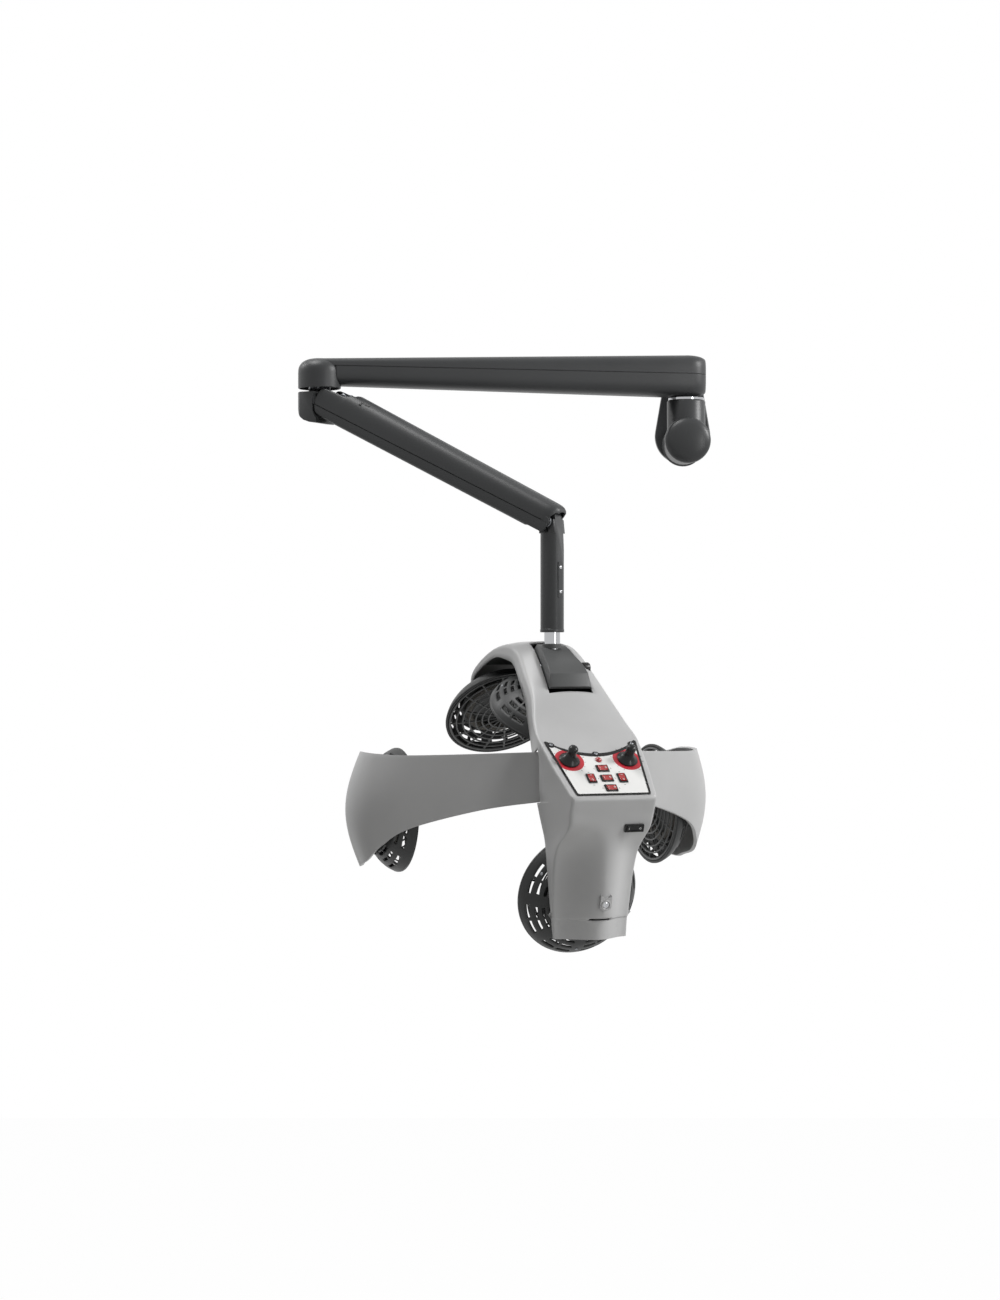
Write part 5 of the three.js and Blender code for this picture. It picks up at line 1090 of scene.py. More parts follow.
def hood_skin():
    """The hood's sheet, with rows moved to the ends of its openings so that their edges are clean."""
    sizes = settings().skins
    last = len(HOOD_STATIONS) - 1
    shares = [k / STEPS_PER_STATION for k in range(last * STEPS_PER_STATION + 1)]
    start, stop = RIDGE - RIDGE_ROUNDING[0], RIDGE + RIDGE_ROUNDING[1]
    shares = [share for share in shares if not start < share < stop]
    shares = sorted(shares + [blend(start, stop, k / 8) for k in range(9)])
    marks = {  # found between two shares that hold only that edge
        "opening_rear": where(face_forward, OPENING_REAR, 4, 5),
        "opening_front": where(face_forward, OPENING_FRONT, 7, 8),
        "slot_top": where(face_height, SLOT_TOP, *NOSE_SHARES),
        "slot_bottom": where(face_height, SLOT_BOTTOM, *NOSE_SHARES),
        "notch_top": where(notch_height, NOTCH_TOP, 8.5, 10),
        "notch_bottom": where(notch_height, NOTCH_BOTTOM, 11, 12.5),
    }
    for mark in marks.values():
        nearest = min(range(len(shares)), key=lambda i: abs(shares[i] - mark))
        shares[nearest] = mark
    form = bmesh.new()
    rows = []
    for share in shares:
        half = hood_section(share, sizes.corner * MM_PER_METRE)
        mirrored = [(p.x, -p.y, p.z) for p in half[:0:-1]]
        rows.append(add_points(form, mirrored + [tuple(p) for p in half], HOOD))
    middle = len(rows[0]) // 2

    def between(i, first, second):
        return marks[first] - SAME_SHARE <= shares[i] < marks[second] - SAME_SHARE

    def is_open(i, j):
        column = j - middle if j >= middle else middle - 1 - j
        if between(i, "opening_rear", "opening_front") and column < WIDE_COLUMN:
            return True
        if between(i, "slot_top", "slot_bottom") and column < SLOT_COLUMN:
            return True
        past_rim = hood_station(shares[i])[RIM_U] > NOTCH_REAR
        inside = column == middle - 2 or (past_rim and column == middle - 1)
        return between(i, "notch_top", "notch_bottom") and inside

    skin(form, rows, is_open=is_open)
    add_face(form, rows[0])
    add_face(form, rows[-1][::-1])
    hood = finish_piece(
        "hood_skin", form, "hood", lacquered_abs, ["hood_body"], sharp=50, normals=False
    )
    thickened(hood, sizes.hood_wall)


EAR_THICKNESS = 6
# The sheet behind the nose slot is painted shade: a black sheet that stands for the shade inside the hood behind
# the slot.
SLOT_SHADE_HEIGHTS, SLOT_SHADE_HALF = (-363, -366, -369, -372, -375), 18
SLOT_SHADE_SHIFT = (-5.5, 2.5)  # forward and up, from the hood's face


def hood_inside():
    """The axle's ears, and a gloss black sheet behind the nose slot that paints the shade inside the hood."""
    form = bmesh.new()
    ear = opening_half(AXLE_FORWARD)
    for side in SIDES.values():
        eye = moved(HOOD, (AXLE_FORWARD, side * ear, AXLE_HEIGHT), "X", -90 * side)
        lathe(form, [(0, 0), (6.4, 0), (6.4, EAR_THICKNESS), (0, EAR_THICKNESS)], eye, 40)
        low, high = sorted((side * ear, side * (ear + EAR_THICKNESS)))
        outline = [(10, -30), (14, -37), (27, -38), (24, -35), (16, -31)]
        loft(form, [[(u, w, h) for u, h in outline] for w in (low, high)], HOOD)
    finish_piece("axle_ears", form, "hood", lacquered_abs)
    form = bmesh.new()
    rows = []
    forward, up = SLOT_SHADE_SHIFT
    for height in SLOT_SHADE_HEIGHTS:
        fu, fh, eu, eh, half, *_ = hood_station(where(face_height, height, *NOSE_SHARES))
        row = []
        for k in range(13):
            w = SLOT_SHADE_HALF * (k / 6 - 1)
            swell = (1 + math.cos(math.pi * w / half)) / 2
            row.append((blend(eu, fu, swell) + forward, w, blend(eh, fh, swell) + up))
        rows.append(add_points(form, row, HOOD))
    skin(form, rows)
    # Gloss black so that the slot reads dark: painted shade.
    finish_piece("slot_shade_sheet", form, "hood", gloss_abs)


# Wing stations from hinge to tip: forward, sideways, top, bottom, bulge outward
WING_STATIONS = [
    (111, 55, -146, -214, 0),
    (103, 64, -146, -214, 0),
    (60, 132, -149, -226, 0),
    (0, 213, -152, -253, 5),
    (-36, 243, -151, -280, 11),
    (-62, 252, -150, -299, 16),
    (-90, 251, -149.5, -307, 20),
    (-112, 245, -152, -311, 20),
    (-150, 218, -165, -298, 17),
]
WING_COLUMNS, WING_ROWS = 60, 22
TIP_ROUNDING = (26.0, 32.0)  # radii of the tip's upper and lower corner
TIP_STEPS = [0.12 * share for share in (0.8, 0.6, 0.42, 0.28, 0.16, 0.08, 0.03, 0.0)]  # for its round end
HINGE_FORWARD, HINGE_SIDE, HINGE_TOP, HINGE_BOTTOM = 112, 51, -146, -214
STALK_FOOT = 65.9  # from a wing lamp's rim to the foot of its stalk


def wing_row(share, to_tip, side):
    """Points from the bottom to the top of a wing, bowed outward square to its run."""
    u, w, top, bottom, bulge = curve_through(WING_STATIONS, share)
    ahead = curve_through(WING_STATIONS, min(share + 0.02, len(WING_STATIONS) - 1))
    behind = curve_through(WING_STATIONS, max(share - 0.02, 0))
    out = Vector((ahead[1] - behind[1], behind[0] - ahead[0])).normalized()
    for radius, sign in zip(TIP_ROUNDING, (-1, 1)):
        if to_tip < radius:
            cutback = radius - math.sqrt(radius**2 - (radius - to_tip) ** 2)
            top, bottom = (top - cutback, bottom) if sign < 0 else (top, bottom + cutback)
    row = []
    for k in range(WING_ROWS + 1):
        height = k / WING_ROWS
        swell = bulge * math.sin(math.pi * height)
        row.append((u + out.x * swell, side * (w + out.y * swell), blend(bottom, top, height)))
    return row


def wings():
    sizes = settings().skins
    last = len(WING_STATIONS) - 1
    shares = [last * k / WING_COLUMNS for k in range(WING_COLUMNS)]
    shares += [last - back for back in TIP_STEPS]
    tip = Vector(curve_through(WING_STATIONS, last)[:2])
    for name, side in SIDES.items():
        form = bmesh.new()
        rows = []
        for share in sorted(shares):
            to_tip = (Vector(curve_through(WING_STATIONS, share)[:2]) - tip).length
            rows.append(add_points(form, wing_row(share, to_tip, side), HOOD))
        skin(form, rows, flip=side < 0)
        wing = finish_piece(
            f"{name}_wing_skin", form, f"{name}_wing_body", lacquered_abs,
            [f"{name}_wing"], sharp=60, normals=False,
        )
        thickened(wing, sizes.wing_wall)
        bevelled(wing, 1.7 * sizes.edge, segments=3, angle=60)
        form = bmesh.new()
        hinge = moved(HOOD, (HINGE_FORWARD, side * HINGE_SIDE, 0))
        barrel = [
            (3.4, HINGE_BOTTOM), (6, HINGE_BOTTOM), (6, HINGE_TOP), (3.4, HINGE_TOP), (3.4, HINGE_BOTTOM),
        ]
        lathe(form, barrel, hinge, 32)
        finish_piece(f"{name}_wing_barrel", form, f"{name}_wing_body", lacquered_abs)
        form = bmesh.new()
        foot_side = side * (WING_LAMP_SIDE + STALK_FOOT)
        foot = moved(HOOD, (WING_LAMP_FORWARD, foot_side, WING_LAMP_HEIGHT), "X", 90 * side)
        lathe(form, [(0, 0), (13, 0), (13, 2), (11.5, 3.2), (0, 3.2)], foot, 32)
        for offset in (-24, 24):
            screw(form, moved(foot, (offset, 0, 0)), 3.2, 2.2)
        finish_piece(f"{name}_stalk_foot", form, f"{name}_wing_body", heat_nylon)


LAMP_RADIUS, LAMP_DEPTH, LAMP_WALL = 87.0, 40.0, 2.5
BEAD_RADIUS, BEAD_DEPTH = 2.1, 2.2
SECTORS = 8
DISH_SCREW_REACH, DISH_SCREW_DEPTH, DISH_SCREW_LEAN = 0.855, 20.4, 58  # the reach is a share of the radius
# Rings of slots in a dish, by their outer edge: degrees of the broad web between two sectors.
DISH_SLOTS = {0.925: 13, 0.82: 14, 0.715: 16, 0.61: 18, 0.505: 21}
SLOT_BRIDGE = 3.0  # degrees between the two slots of a sector
DISH_RADII = [
    1, 0.995, 0.985, 0.97, 0.95, 0.925, 0.888, 0.865, 0.845, 0.82, 0.783, 0.76, 0.74, 0.715, 0.678, 0.65,
    0.63, 0.61, 0.573, 0.55, 0.53, 0.505, 0.468, 0.42, 0.36, 0.29, 0.22, 0.15,
]


def lamp_shell(name, place, body, stalk):
    segments = SECTORS * settings().lamps.segments
    form = bmesh.new()
    rows = []
    for share in DISH_RADII:
        depth = LAMP_DEPTH * (1 - share**3) ** (2 / 3)
        rows.append(add_points(form, circle(share * LAMP_RADIUS, depth, segments), place))
    half_sector = 360 / SECTORS / 2

    def is_open(i, j):
        web = DISH_SLOTS.get(DISH_RADII[i])
        from_middle = abs((360 * (j + 0.5) / segments) % (2 * half_sector) - half_sector)
        return web is not None and SLOT_BRIDGE / 2 < from_middle < half_sector - web / 2

    skin(form, rows, wrap=True, is_open=is_open, flip=True)
    add_face(form, rows[-1])
    shell = finish_piece(
        f"{name}_lamp_dish", form, body, heat_nylon, [f"{name}_lamp_shell"],
        sharp=50, normals=False,
    )
    thickened(shell, LAMP_WALL / MM_PER_METRE)
    form = bmesh.new()
    middle = LAMP_RADIUS - BEAD_RADIUS
    bead = [(middle + x, BEAD_DEPTH + y) for x, y, _ in circle(BEAD_RADIUS, 0, 12)]
    lathe(form, bead + bead[:1], place, 96)
    foot = LAMP_DEPTH + stalk
    stem = [(0, 38.5), (15, 38.5), (13, 40.6), (9.6, 42.5), (9, 44), (9, foot), (0, foot)]
    lathe(form, stem, place, 32)
    finish_piece(f"{name}_lamp_rim", form, body, heat_nylon)
    form = bmesh.new()
    seat = (DISH_SCREW_REACH * LAMP_RADIUS, 0, DISH_SCREW_DEPTH)
    for degrees in (0, 120, 240):
        spot = moved(turned(place, "Z", degrees), seat, "Y", DISH_SCREW_LEAN)
        screw(form, spot, 2.2, 1.2)
    finish_piece(f"{name}_lamp_screws", form, body, zinc_plate)


GUARD_RADIUS, INNER_RING, HUB_RADIUS = 81.2, 15, 11
GUARD_EDGE, GUARD_DOME = 83.0, 7.6  # where the guard's curve meets the rim, and how far it stands out
GUARD_SEAT = 1.2  # depth of that curve at the rim
OUTER_WIRE, INNER_WIRE = 1.25, 0.85  # radii of the rings as shares of a rib's
RIB_OFFSET, RIB_DEPTH = 0.25, 0.6  # the offset is a share of the turn between two ribs


def guard_depth(radius):
    return GUARD_SEAT - GUARD_DOME * (1 - (radius / GUARD_EDGE) ** 2)


def lamp_guard(name, place, body):
    sizes = settings().lamps
    wire = sizes.wire * MM_PER_METRE
    form = bmesh.new()
    for k in range(sizes.rings):
        radius = blend(GUARD_RADIUS, INNER_RING, k / sizes.rings)
        path = circle(radius, guard_depth(radius), 72)
        tube(form, path, wire * (OUTER_WIRE if k == 0 else INNER_WIRE), place, closed=True)
    for k in range(sizes.ribs):
        a = 2 * math.pi * (k + RIB_OFFSET) / sizes.ribs
        radii = [blend(HUB_RADIUS, GUARD_RADIUS, j / 9) for j in range(10)]
        path = [(r * math.cos(a), r * math.sin(a), guard_depth(r) + RIB_DEPTH) for r in radii]
        tube(form, path, wire, place, sides=6)
    hub = guard_depth(0)
    button = [
        (0, hub - 0.4), (HUB_RADIUS, hub + 0.2), (13, hub + 1.2), (12, hub + 2.4), (0, hub + 2.2),
    ]
    lathe(form, button, place, 40)
    finish_piece(f"{name}_lamp_guard", form, body, wire_enamel, [f"{name}_lamp_grille"])


EMITTER_RADIUS, EMITTER_DEPTH, TUBE_RADIUS = 48, 15, 5.4
HOLDER_TURN, CLIP_RADIUS, CLIP_WIRE = 6.5, 7.2, 0.9  # the turn, in degrees, is to the first of two


def lamp_emitter(name, place, body):
    form = bmesh.new()
    path = circle(EMITTER_RADIUS, EMITTER_DEPTH, 80)
    tube(form, path, TUBE_RADIUS, place, sides=16, closed=True)
    finish_piece(f"{name}_lamp_tube", form, body, frosted_quartz, [f"{name}_lamp_emitter"])
    form = bmesh.new()
    half_turn = [math.pi * j / 12 for j in range(13)]
    clip = [(CLIP_RADIUS * math.cos(b), 0, EMITTER_DEPTH + CLIP_RADIUS * math.sin(b)) for b in half_turn]
    for degrees in (HOLDER_TURN, HOLDER_TURN + 180):
        a = math.radians(degrees)
        holder = moved(place, (EMITTER_RADIUS * math.cos(a), EMITTER_RADIUS * math.sin(a), 0))
        lathe(form, [(0, 13), (3.4, 13), (3.4, 24), (3, 25), (3, 31.6), (0, 31.6)], holder, 16)
        tube(form, clip, CLIP_WIRE, turned(holder, "Z", degrees), sides=6)
    lathe(form, [(0, 26), (30, 25), (58, 19.5), (58.8, 20.2), (30, 26.4), (0, 27.2)], place, 64)
    finish_piece(f"{name}_lamp_reflector", form, body, wire_enamel)


def lamps():
    for name, (place, body, stalk) in LAMPS.items():
        lamp_shell(name, place, body, stalk)
        lamp_guard(name, place, body)
        lamp_emitter(name, place, body)


# Panel: x down its slope from the top edge, y across, z out of it.
PANEL_LENGTH, PANEL_TOP_HALF, PANEL_BOTTOM_HALF, PANEL_DIP = 106.0, 68.0, 54.0, 25.0
PANEL_FACE = 0.6
KNOB_DOWN, KNOB_SPREAD = 38.0, 42.5
DIALS = {"timer": -KNOB_SPREAD, "power": KNOB_SPREAD}
PANEL_SCREWS = [(7.5, -59.5), (7.5, 59.5), (26.5, 0)]
SWITCHES = {  # down the panel, across it, whether the switch stands upright
    "timer_range": (55, 0, False),
    "left_lamp": (74, -22.5, True),
    "top_lamp": (74, 0, False),
    "right_lamp": (74, 22.5, True),
    "nape_lamp": (93, 0, False),
}
PRINT_DEPTH, PRINT_RISE, RING_RISE = -0.2, 0.1, 0.12  # of marks and dial rings, from the panel's face
RING_INSIDE, RING_OUTSIDE = 13.5, 20.5
TICKS, TICK_TURN, TICK_STEP = 13, -150, 25  # how many, degrees to the first and between two
TICK_START, TICK_HALF, LONG_TICK, SHORT_TICK = 21.5, 0.3, 2.6, 1.5
DASH_HALF, DASH_REACH_ACROSS, DASH_REACH_DOWN = 1.3, 12.2, 12.4


def panel_outline(inset, corner):
    """The panel's outline drawn in by an inset: a straight foot and sides under a dipped top edge."""
    narrowing = (PANEL_TOP_HALF - PANEL_BOTTOM_HALF) / PANEL_LENGTH
    top, bottom = 2 * inset, PANEL_LENGTH - inset

    def half(down):
        return PANEL_TOP_HALF - narrowing * down - inset

    start, end = Vector((top, half(top))), Vector((top, -half(top)))
    middle = Vector((2 * PANEL_DIP + top, 0))
    arc = [start.lerp(middle, k / 24).lerp(middle.lerp(end, k / 24), k / 24) for k in range(1, 24)]
    lower = rounded([(bottom, -half(bottom)), (bottom, half(bottom)), tuple(start), tuple(end)], corner)
    count = len(lower) // 4
    return lower[: 3 * count] + [(p.x, p.y) for p in arc[2:-2]] + lower[3 * count :]


def control_panel():
    form = bmesh.new()
    outer, inner = panel_outline(0, 3), panel_outline(3.1, 2)
    levels = ((outer, -1), (outer, 0.9), (inner, 1.0), (inner, -1))
    rows = [add_points(form, [(x, y, z) for x, y in outline], PANEL) for outline, z in levels]
    skin(form, rows + rows[:1], wrap=True)
    for down, side in PANEL_SCREWS:
        tab = moved(PANEL, (down, side, -1))
        lathe(form, [(0, 0), (5.2, 0), (5.2, 1.7), (4.8, 2.1), (0, 2.1)], tab, 28)
    finish_piece("panel_border_fine", form, "hood", gloss_abs, ["panel_border"])
    form = bmesh.new()
    prism(form, panel_outline(2.9, 2), -1, PANEL_FACE, PANEL)
    finish_piece("panel_overlay", form, "hood", printed_overlay, ["control_panel"])
    form = bmesh.new()
    for side in DIALS.values():
        dial = moved(PANEL, (KNOB_DOWN, side, PANEL_FACE))
        ring = [
            (RING_INSIDE, PRINT_DEPTH), (RING_OUTSIDE, PRINT_DEPTH), (RING_OUTSIDE, RING_RISE),
            (RING_INSIDE, RING_RISE), (RING_INSIDE, PRINT_DEPTH),
        ]
        lathe(form, ring, dial, 72)
    finish_piece("dial_rings", form, "hood", red_ink)
    form = bmesh.new()
    for side in DIALS.values():
        for k in range(TICKS):
            tick = moved(PANEL, (KNOB_DOWN, side, PANEL_FACE), "Z", TICK_TURN + TICK_STEP * k)
            far = -TICK_START - (LONG_TICK if k % 3 == 0 else SHORT_TICK)
            prism(form, oblong(far, -TICK_START, TICK_HALF), PRINT_DEPTH, PRINT_RISE, tick)
    dash = oblong(-DASH_HALF, DASH_HALF, TICK_HALF)
    for down, side, upright in SWITCHES.values():
        for sign in (-1, 1):
            if upright:
                spot = moved(PANEL, (down + sign * DASH_REACH_DOWN, side, PANEL_FACE), "Z", 90)
            else:
                spot = moved(PANEL, (down, side + sign * DASH_REACH_ACROSS, PANEL_FACE))
            prism(form, dash, PRINT_DEPTH, PRINT_RISE, spot)
    finish_piece("panel_marks", form, "hood", grey_ink)
    form = bmesh.new()
    for down, side in PANEL_SCREWS:
        screw(form, moved(PANEL, (down, side, 1.0)), 2.5, 1.5)
    finish_piece("panel_screws", form, "hood", zinc_plate)
    form = bmesh.new()
    lathe(
        form,
        [(0, 0), (4.6, 0), (4.6, 0.7), (3.9, 1.0), (3.6, 1.9), (2.6, 2.9), (1.2, 3.3), (0, 3.4)],
        moved(PANEL, (KNOB_DOWN, 0, PANEL_FACE)), 32,
    )
    finish_piece("pilot_lens_fine", form, "hood", red_polycarbonate, ["pilot_lens"])


KNOB_LIFT = 0.6
KNOB_FLARE = [
    (14.2, 0), (14.4, 0.5), (14.2, 1.3), (12.6, 2.7), (10.2, 4.8), (8.2, 7.2), (6.9, 10), (6.3, 12.6),
]
KNOB_GRIP = [
    (6.2, 14), (6.4, 16), (6.6, 18), (6.6, 20), (6.3, 21.7), (5.4, 23), (3.8, 24), (1.8, 24.4), (0, 24.5),
]


def dial_knobs():
    for name, side in DIALS.items():
        form = bmesh.new()
        foot = moved(PANEL, (KNOB_DOWN, side, PANEL_FACE + KNOB_LIFT))
        lathe(form, [(0, 0), *KNOB_FLARE, *KNOB_GRIP], foot, 64)
        finish_piece(
            f"{name}_knob_fine", form, f"{name}_dial", gloss_abs, [f"{name}_knob"]
        )


def box_outline(length, width, corner):
    return rounded(oblong(-length / 2, length / 2, width / 2), corner, 4)


def bezel(form, place, length, width, rim, low, high):
    outer = box_outline(length, width, 1.2)
    top = box_outline(length - 0.8, width - 0.8, 1.1)
    inner = box_outline(length - 2 * rim, width - 2 * rim, 0.6)
    floor = [(low, outer), (high - 0.5, outer), (high, top), (high, inner), (low + 0.1, inner)]
    rows = [add_points(form, [(x, y, z) for x, y in line], place) for z, line in floor]
    skin(form, rows, wrap=True)
    add_face(form, rows[0][::-1])
    add_face(form, rows[-1])


ROCKER_DIP, ROCKER_LIP = 0.6, 0.5  # the cap's middle below and its ends above its nominal top
MARK_WIDTH, MARK_THICKNESS = 0.5, 0.15


def rocker(form, place, length, width, low, high):
    """A rocker's cap, whose top dips in a curve between its two ends."""
    half = length / 2
    curve = ROCKER_DIP + ROCKER_LIP
    profile = [(-half, low), (-half, high + ROCKER_LIP)]
    for k in range(1, 10):
        profile.append((-half + length * k / 10, high - ROCKER_DIP + curve * (2 * k / 10 - 1) ** 2))
    profile += [(half, high + ROCKER_LIP), (half, low)]
    loft(form, [[(x, y, z) for x, z in profile] for y in (-width / 2, width / 2)], place)


def rocker_marks(form, place, spread, low, bar_length, ring_hole):
    """A bar at one end of a rocker and a ring at the other."""
    high = low + MARK_THICKNESS
    prism(form, box_outline(MARK_WIDTH, bar_length, 0.1), low, high, moved(place, (-spread, 0, 0)))
    ring = [(ring_hole, low), (1.4, low), (1.4, high), (ring_hole, high), (ring_hole, low)]
    lathe(form, ring, moved(place, (spread, 0, 0)), 20)


def switches():
    rounding = 0.4 * settings().skins.edge
    places = {
        name: moved(PANEL, (down, side, 0), "Z", 0 if upright else 90)
        for name, (down, side, upright) in SWITCHES.items()
    }
    form = bmesh.new()
    for place in places.values():
        bezel(form, place, length=17.5, width=12.5, rim=1.6, low=0.0, high=2.2)
    finish_piece("switch_bezels", form, "hood", gloss_abs, ["switch_bank"])
    for name, place in places.items():
        form = bmesh.new()
        rocker(form, place, length=12.9, width=8.7, low=1.35, high=3.0)
        cap = finish_piece(
            f"{name}_rocker_fine", form, f"{name}_switch", red_polycarbonate,
            [f"{name}_rocker"],
        )
        bevelled(cap, rounding)
        form = bmesh.new()
        rocker_marks(form, place, spread=4.3, low=3.05, bar_length=3.0, ring_hole=0.9)
        finish_piece(f"{name}_rocker_marks", form, f"{name}_switch", printed_overlay)
    form = bmesh.new()
    bezel(form, MAIN_SWITCH, length=28, width=11, rim=2.0, low=0.0, high=2.0)
    finish_piece("main_switch_bezel", form, "hood", gloss_abs, ["main_switch_body"])
    form = bmesh.new()
    rocker(form, MAIN_SWITCH, length=22.4, width=6.2, low=1.1, high=2.3)
    cap = finish_piece(
        "main_rocker_fine", form, "main_switch", gloss_abs, ["main_switch_rocker"]
    )
    bevelled(cap, rounding)
    form = bmesh.new()
    rocker_marks(form, MAIN_SWITCH, spread=8, low=2.4, bar_length=2.8, ring_hole=1.0)
    finish_piece("main_rocker_marks", form, "main_switch", printed_overlay)


TILT_KNOB_RADIUS, FLUTES, FLUTE_DEPTH = 8, 18, 0.05  # the depth is a share of the radius
NOSE_BOSS_PLACE, NOSE_BOSS_SLOPE = (180.6, 0, -347.5), 105.3
WALL_SCREWS = [(-26, -10), (26, -10), (0, 75)]  # across the wall plate and up it


def tilt_knob():
    form = bmesh.new()
    knob_side = opening_half(AXLE_FORWARD) + EAR_THICKNESS + GAP
    knob = moved(HOOD, (AXLE_FORWARD, knob_side, AXLE_HEIGHT), "X", -90)
    rows = []
    for z, share in ((0, 0.75), (2, 1.0), (10.7, 1.0), (12.1, 0.88)):
        ring = []
        for a in [2 * math.pi * j / 72 for j in range(72)]:
            radius = TILT_KNOB_RADIUS * share * (1 - FLUTE_DEPTH * (1 + math.cos(FLUTES * a)) / 2)
            ring.append((radius * math.cos(a), radius * math.sin(a), z))
        rows.append(ring)
    loft(form, rows, knob)
    lathe(form, [(0, 11.9), (5, 11.9), (4.4, 12.5), (0, 12.5)], knob, 24)
    finish_piece("tilt_knob_fine", form, "tilt_lock", gloss_abs, ["tilt_knob"])


def fasteners():
    form = bmesh.new()
    nose = moved(HOOD, NOSE_BOSS_PLACE, "Y", NOSE_BOSS_SLOPE)
    shield = [(-13, -8), (-9.5, -3.5), (-9.5, 3.5), (-13, 8), (5, 8.2), (10.5, 0), (5, -8.2)]
    prism(form, rounded(shield, 1.4), -2.5, 2.0, nose)
    ring = [(5.2, 1.5), (6.8, 1.5), (6.8, 2.6), (6, 3.2), (5.2, 2.6), (5.2, 1.5)]
    lathe(form, ring, nose, 40)
    finish_piece("nose_boss", form, "hood", lacquered_abs)
    form = bmesh.new()
    screw(form, moved(nose, (0, 0, 1.6)), 4.6, 1.8)
    finish_piece("nose_screw", form, "hood", chrome_plate)
    form = bmesh.new()
    for x, z in WALL_SCREWS:
        screw(form, moved(ROW, (x, -PLATE_THICKNESS, z), "X", 90), 5.2, 2.6)
    finish_piece("wall_screws", form, "wall_mounting", zinc_plate)


# Studio, in metres of the row

WHITE = (1, 1, 1, 1)
FILL_STRENGTH = 0.1
FLOOR_HEIGHT, FLOOR_THICKNESS = -1.6, 0.02
FLOOR_CORNERS = [(-3, -4), (3, -4), (3, 3), (-3, 3)]
PAPER, PAPER_GLOW = "#d2d2d0", 0.985  # the glow is the share of white that the camera sees in it
LIT_MIDDLE = (-0.25, -0.3, -0.35)
SOFT_LAMPS = {  # place, width and height, watts
    "key": ((2.9, -0.7, 1.3), (1.1, 1.1), 92),
    "strip": ((1.8, -2.5, 0.0), (0.4, 1.6), 17),
    "rim": ((-2.6, 0.6, 1.5), (0.8, 0.8), 22),
    "top": ((-1.1, -0.4, 2.1), (1.3, 1.1), 45),
}
CAMERA_PLACE = (-0.282, -3.980, -0.330)
CAMERA_LENS, CAMERA_SENSOR = 71.2, 36  # millimetres; the camera is level and looks along +Y


def soft_lamp(name, place, size, watts):
    light = bpy.data.lights.new(name, "AREA")
    light.shape = "RECTANGLE"
    light.size, light.size_y = size
    light.energy = watts
    made = bpy.data.objects.new(name, light)
    made.location = place
    made.rotation_euler = (Vector(LIT_MIDDLE) - Vector(place)).to_track_quat("-Z", "Y").to_euler()
    bpy.context.scene.collection.objects.link(made)


def seen_directly(tree):
    """1 for camera, mirror and glass rays, 0 for the light that falls on the object."""
    path = add_node(tree, "ShaderNodeLightPath")
    either = add_node(
        tree, "ShaderNodeMath",
        {0: path.outputs["Is Camera Ray"], 1: path.outputs["Is Glossy Ray"]}, operation="MAXIMUM",
    )
    return add_node(
        tree, "ShaderNodeMath",
        {0: either.outputs[0], 1: path.outputs["Is Transmission Ray"]}, operation="MAXIMUM",
    ).outputs[0]


def white_surround():
    world = bpy.data.worlds.new("white studio")
    bpy.context.scene.world = world
    world.use_nodes = True
    tree = world.node_tree
    tree.nodes.clear()
    fill = add_node(tree, "ShaderNodeBackground", values={"Color": WHITE, "Strength": FILL_STRENGTH})
    white = add_node(tree, "ShaderNodeBackground", values={"Color": WHITE, "Strength": 1.0})
    mixed = add_node(
        tree, "ShaderNodeMixShader", {0: seen_directly(tree), 1: fill.outputs[0], 2: white.outputs[0]}
    )
    add_node(tree, "ShaderNodeOutputWorld", {"Surface": mixed.outputs[0]})


def white_paper():
    # Matt white paper: almost all white where the camera looks at it, with a trace of the shadow that
    # falls on it.
    paper = bpy.data.materials.new("white_paper")
    paper.use_nodes = True
    tree = paper.node_tree
    tree.nodes.clear()
    matt = add_node(tree, "ShaderNodeBsdfDiffuse", values={"Color": linear(PAPER)})
    glow = add_node(tree, "ShaderNodeEmission", values={"Color": WHITE, "Strength": 1.0})
    share = add_node(
        tree, "ShaderNodeMath", {0: seen_directly(tree)}, {1: PAPER_GLOW}, operation="MULTIPLY"
    )
    blended = add_node(
        tree, "ShaderNodeMixShader", {0: share.outputs[0], 1: matt.outputs[0], 2: glow.outputs[0]}
    )
    add_node(tree, "ShaderNodeOutputMaterial", {"Surface": blended.outputs[0]})
    return paper


def studio():
    scene = bpy.context.scene
    scene.view_settings.view_transform = "Standard"
    white_surround()
    form = bmesh.new()
    outline = rounded(FLOOR_CORNERS, 1.0)
    prism(form, outline, FLOOR_HEIGHT - FLOOR_THICKNESS, FLOOR_HEIGHT, Matrix.Identity(4))
    mesh = bpy.data.meshes.new("studio_floor")
    form.to_mesh(mesh)
    form.free()
    mesh.materials.append(white_paper())
    floor = bpy.data.objects.new("studio_floor", mesh)
    scene.collection.objects.link(floor)
    for name, lamp in SOFT_LAMPS.items():
        soft_lamp(name, *lamp)
    eye = bpy.data.cameras.new("photo view")
    eye.lens = CAMERA_LENS
    eye.sensor_width = CAMERA_SENSOR
    camera = bpy.data.objects.new("photo view", eye)
    camera.location = CAMERA_PLACE
    camera.rotation_euler = (math.pi / 2, 0, 0)
    scene.collection.objects.link(camera)
    scene.camera = camera


# Operators


class HAIRPROC_OT_carried(bpy.types.Operator):
    """Give every solid of the frame its finish and softened edges"""

    bl_idname = "hair_processor.carried"
    bl_label = "Frame Finishes"

    def execute(self, context):
        carried_nodes()
        return {"FINISHED"}


class HAIRPROC_OT_wall(bpy.types.Operator):
    """Build the wall plate, bracket, cap and washer"""

    bl_idname = "hair_processor.wall"
    bl_label = "Wall Mounting"

    def execute(self, context):
        wall_mounting()
        return {"FINISHED"}


class HAIRPROC_OT_arm(bpy.types.Operator):
    """Build both arms' covers, the elbow dome, the latch, the rollers, and the stem pin's dark caps that paint the
    shade in the gap by the stem
    """

    bl_idname = "hair_processor.arm"
    bl_label = "Arms"

    def execute(self, context):
        upper_arm()
        lower_covers()
        lower_arm_details()
        return {"FINISHED"}


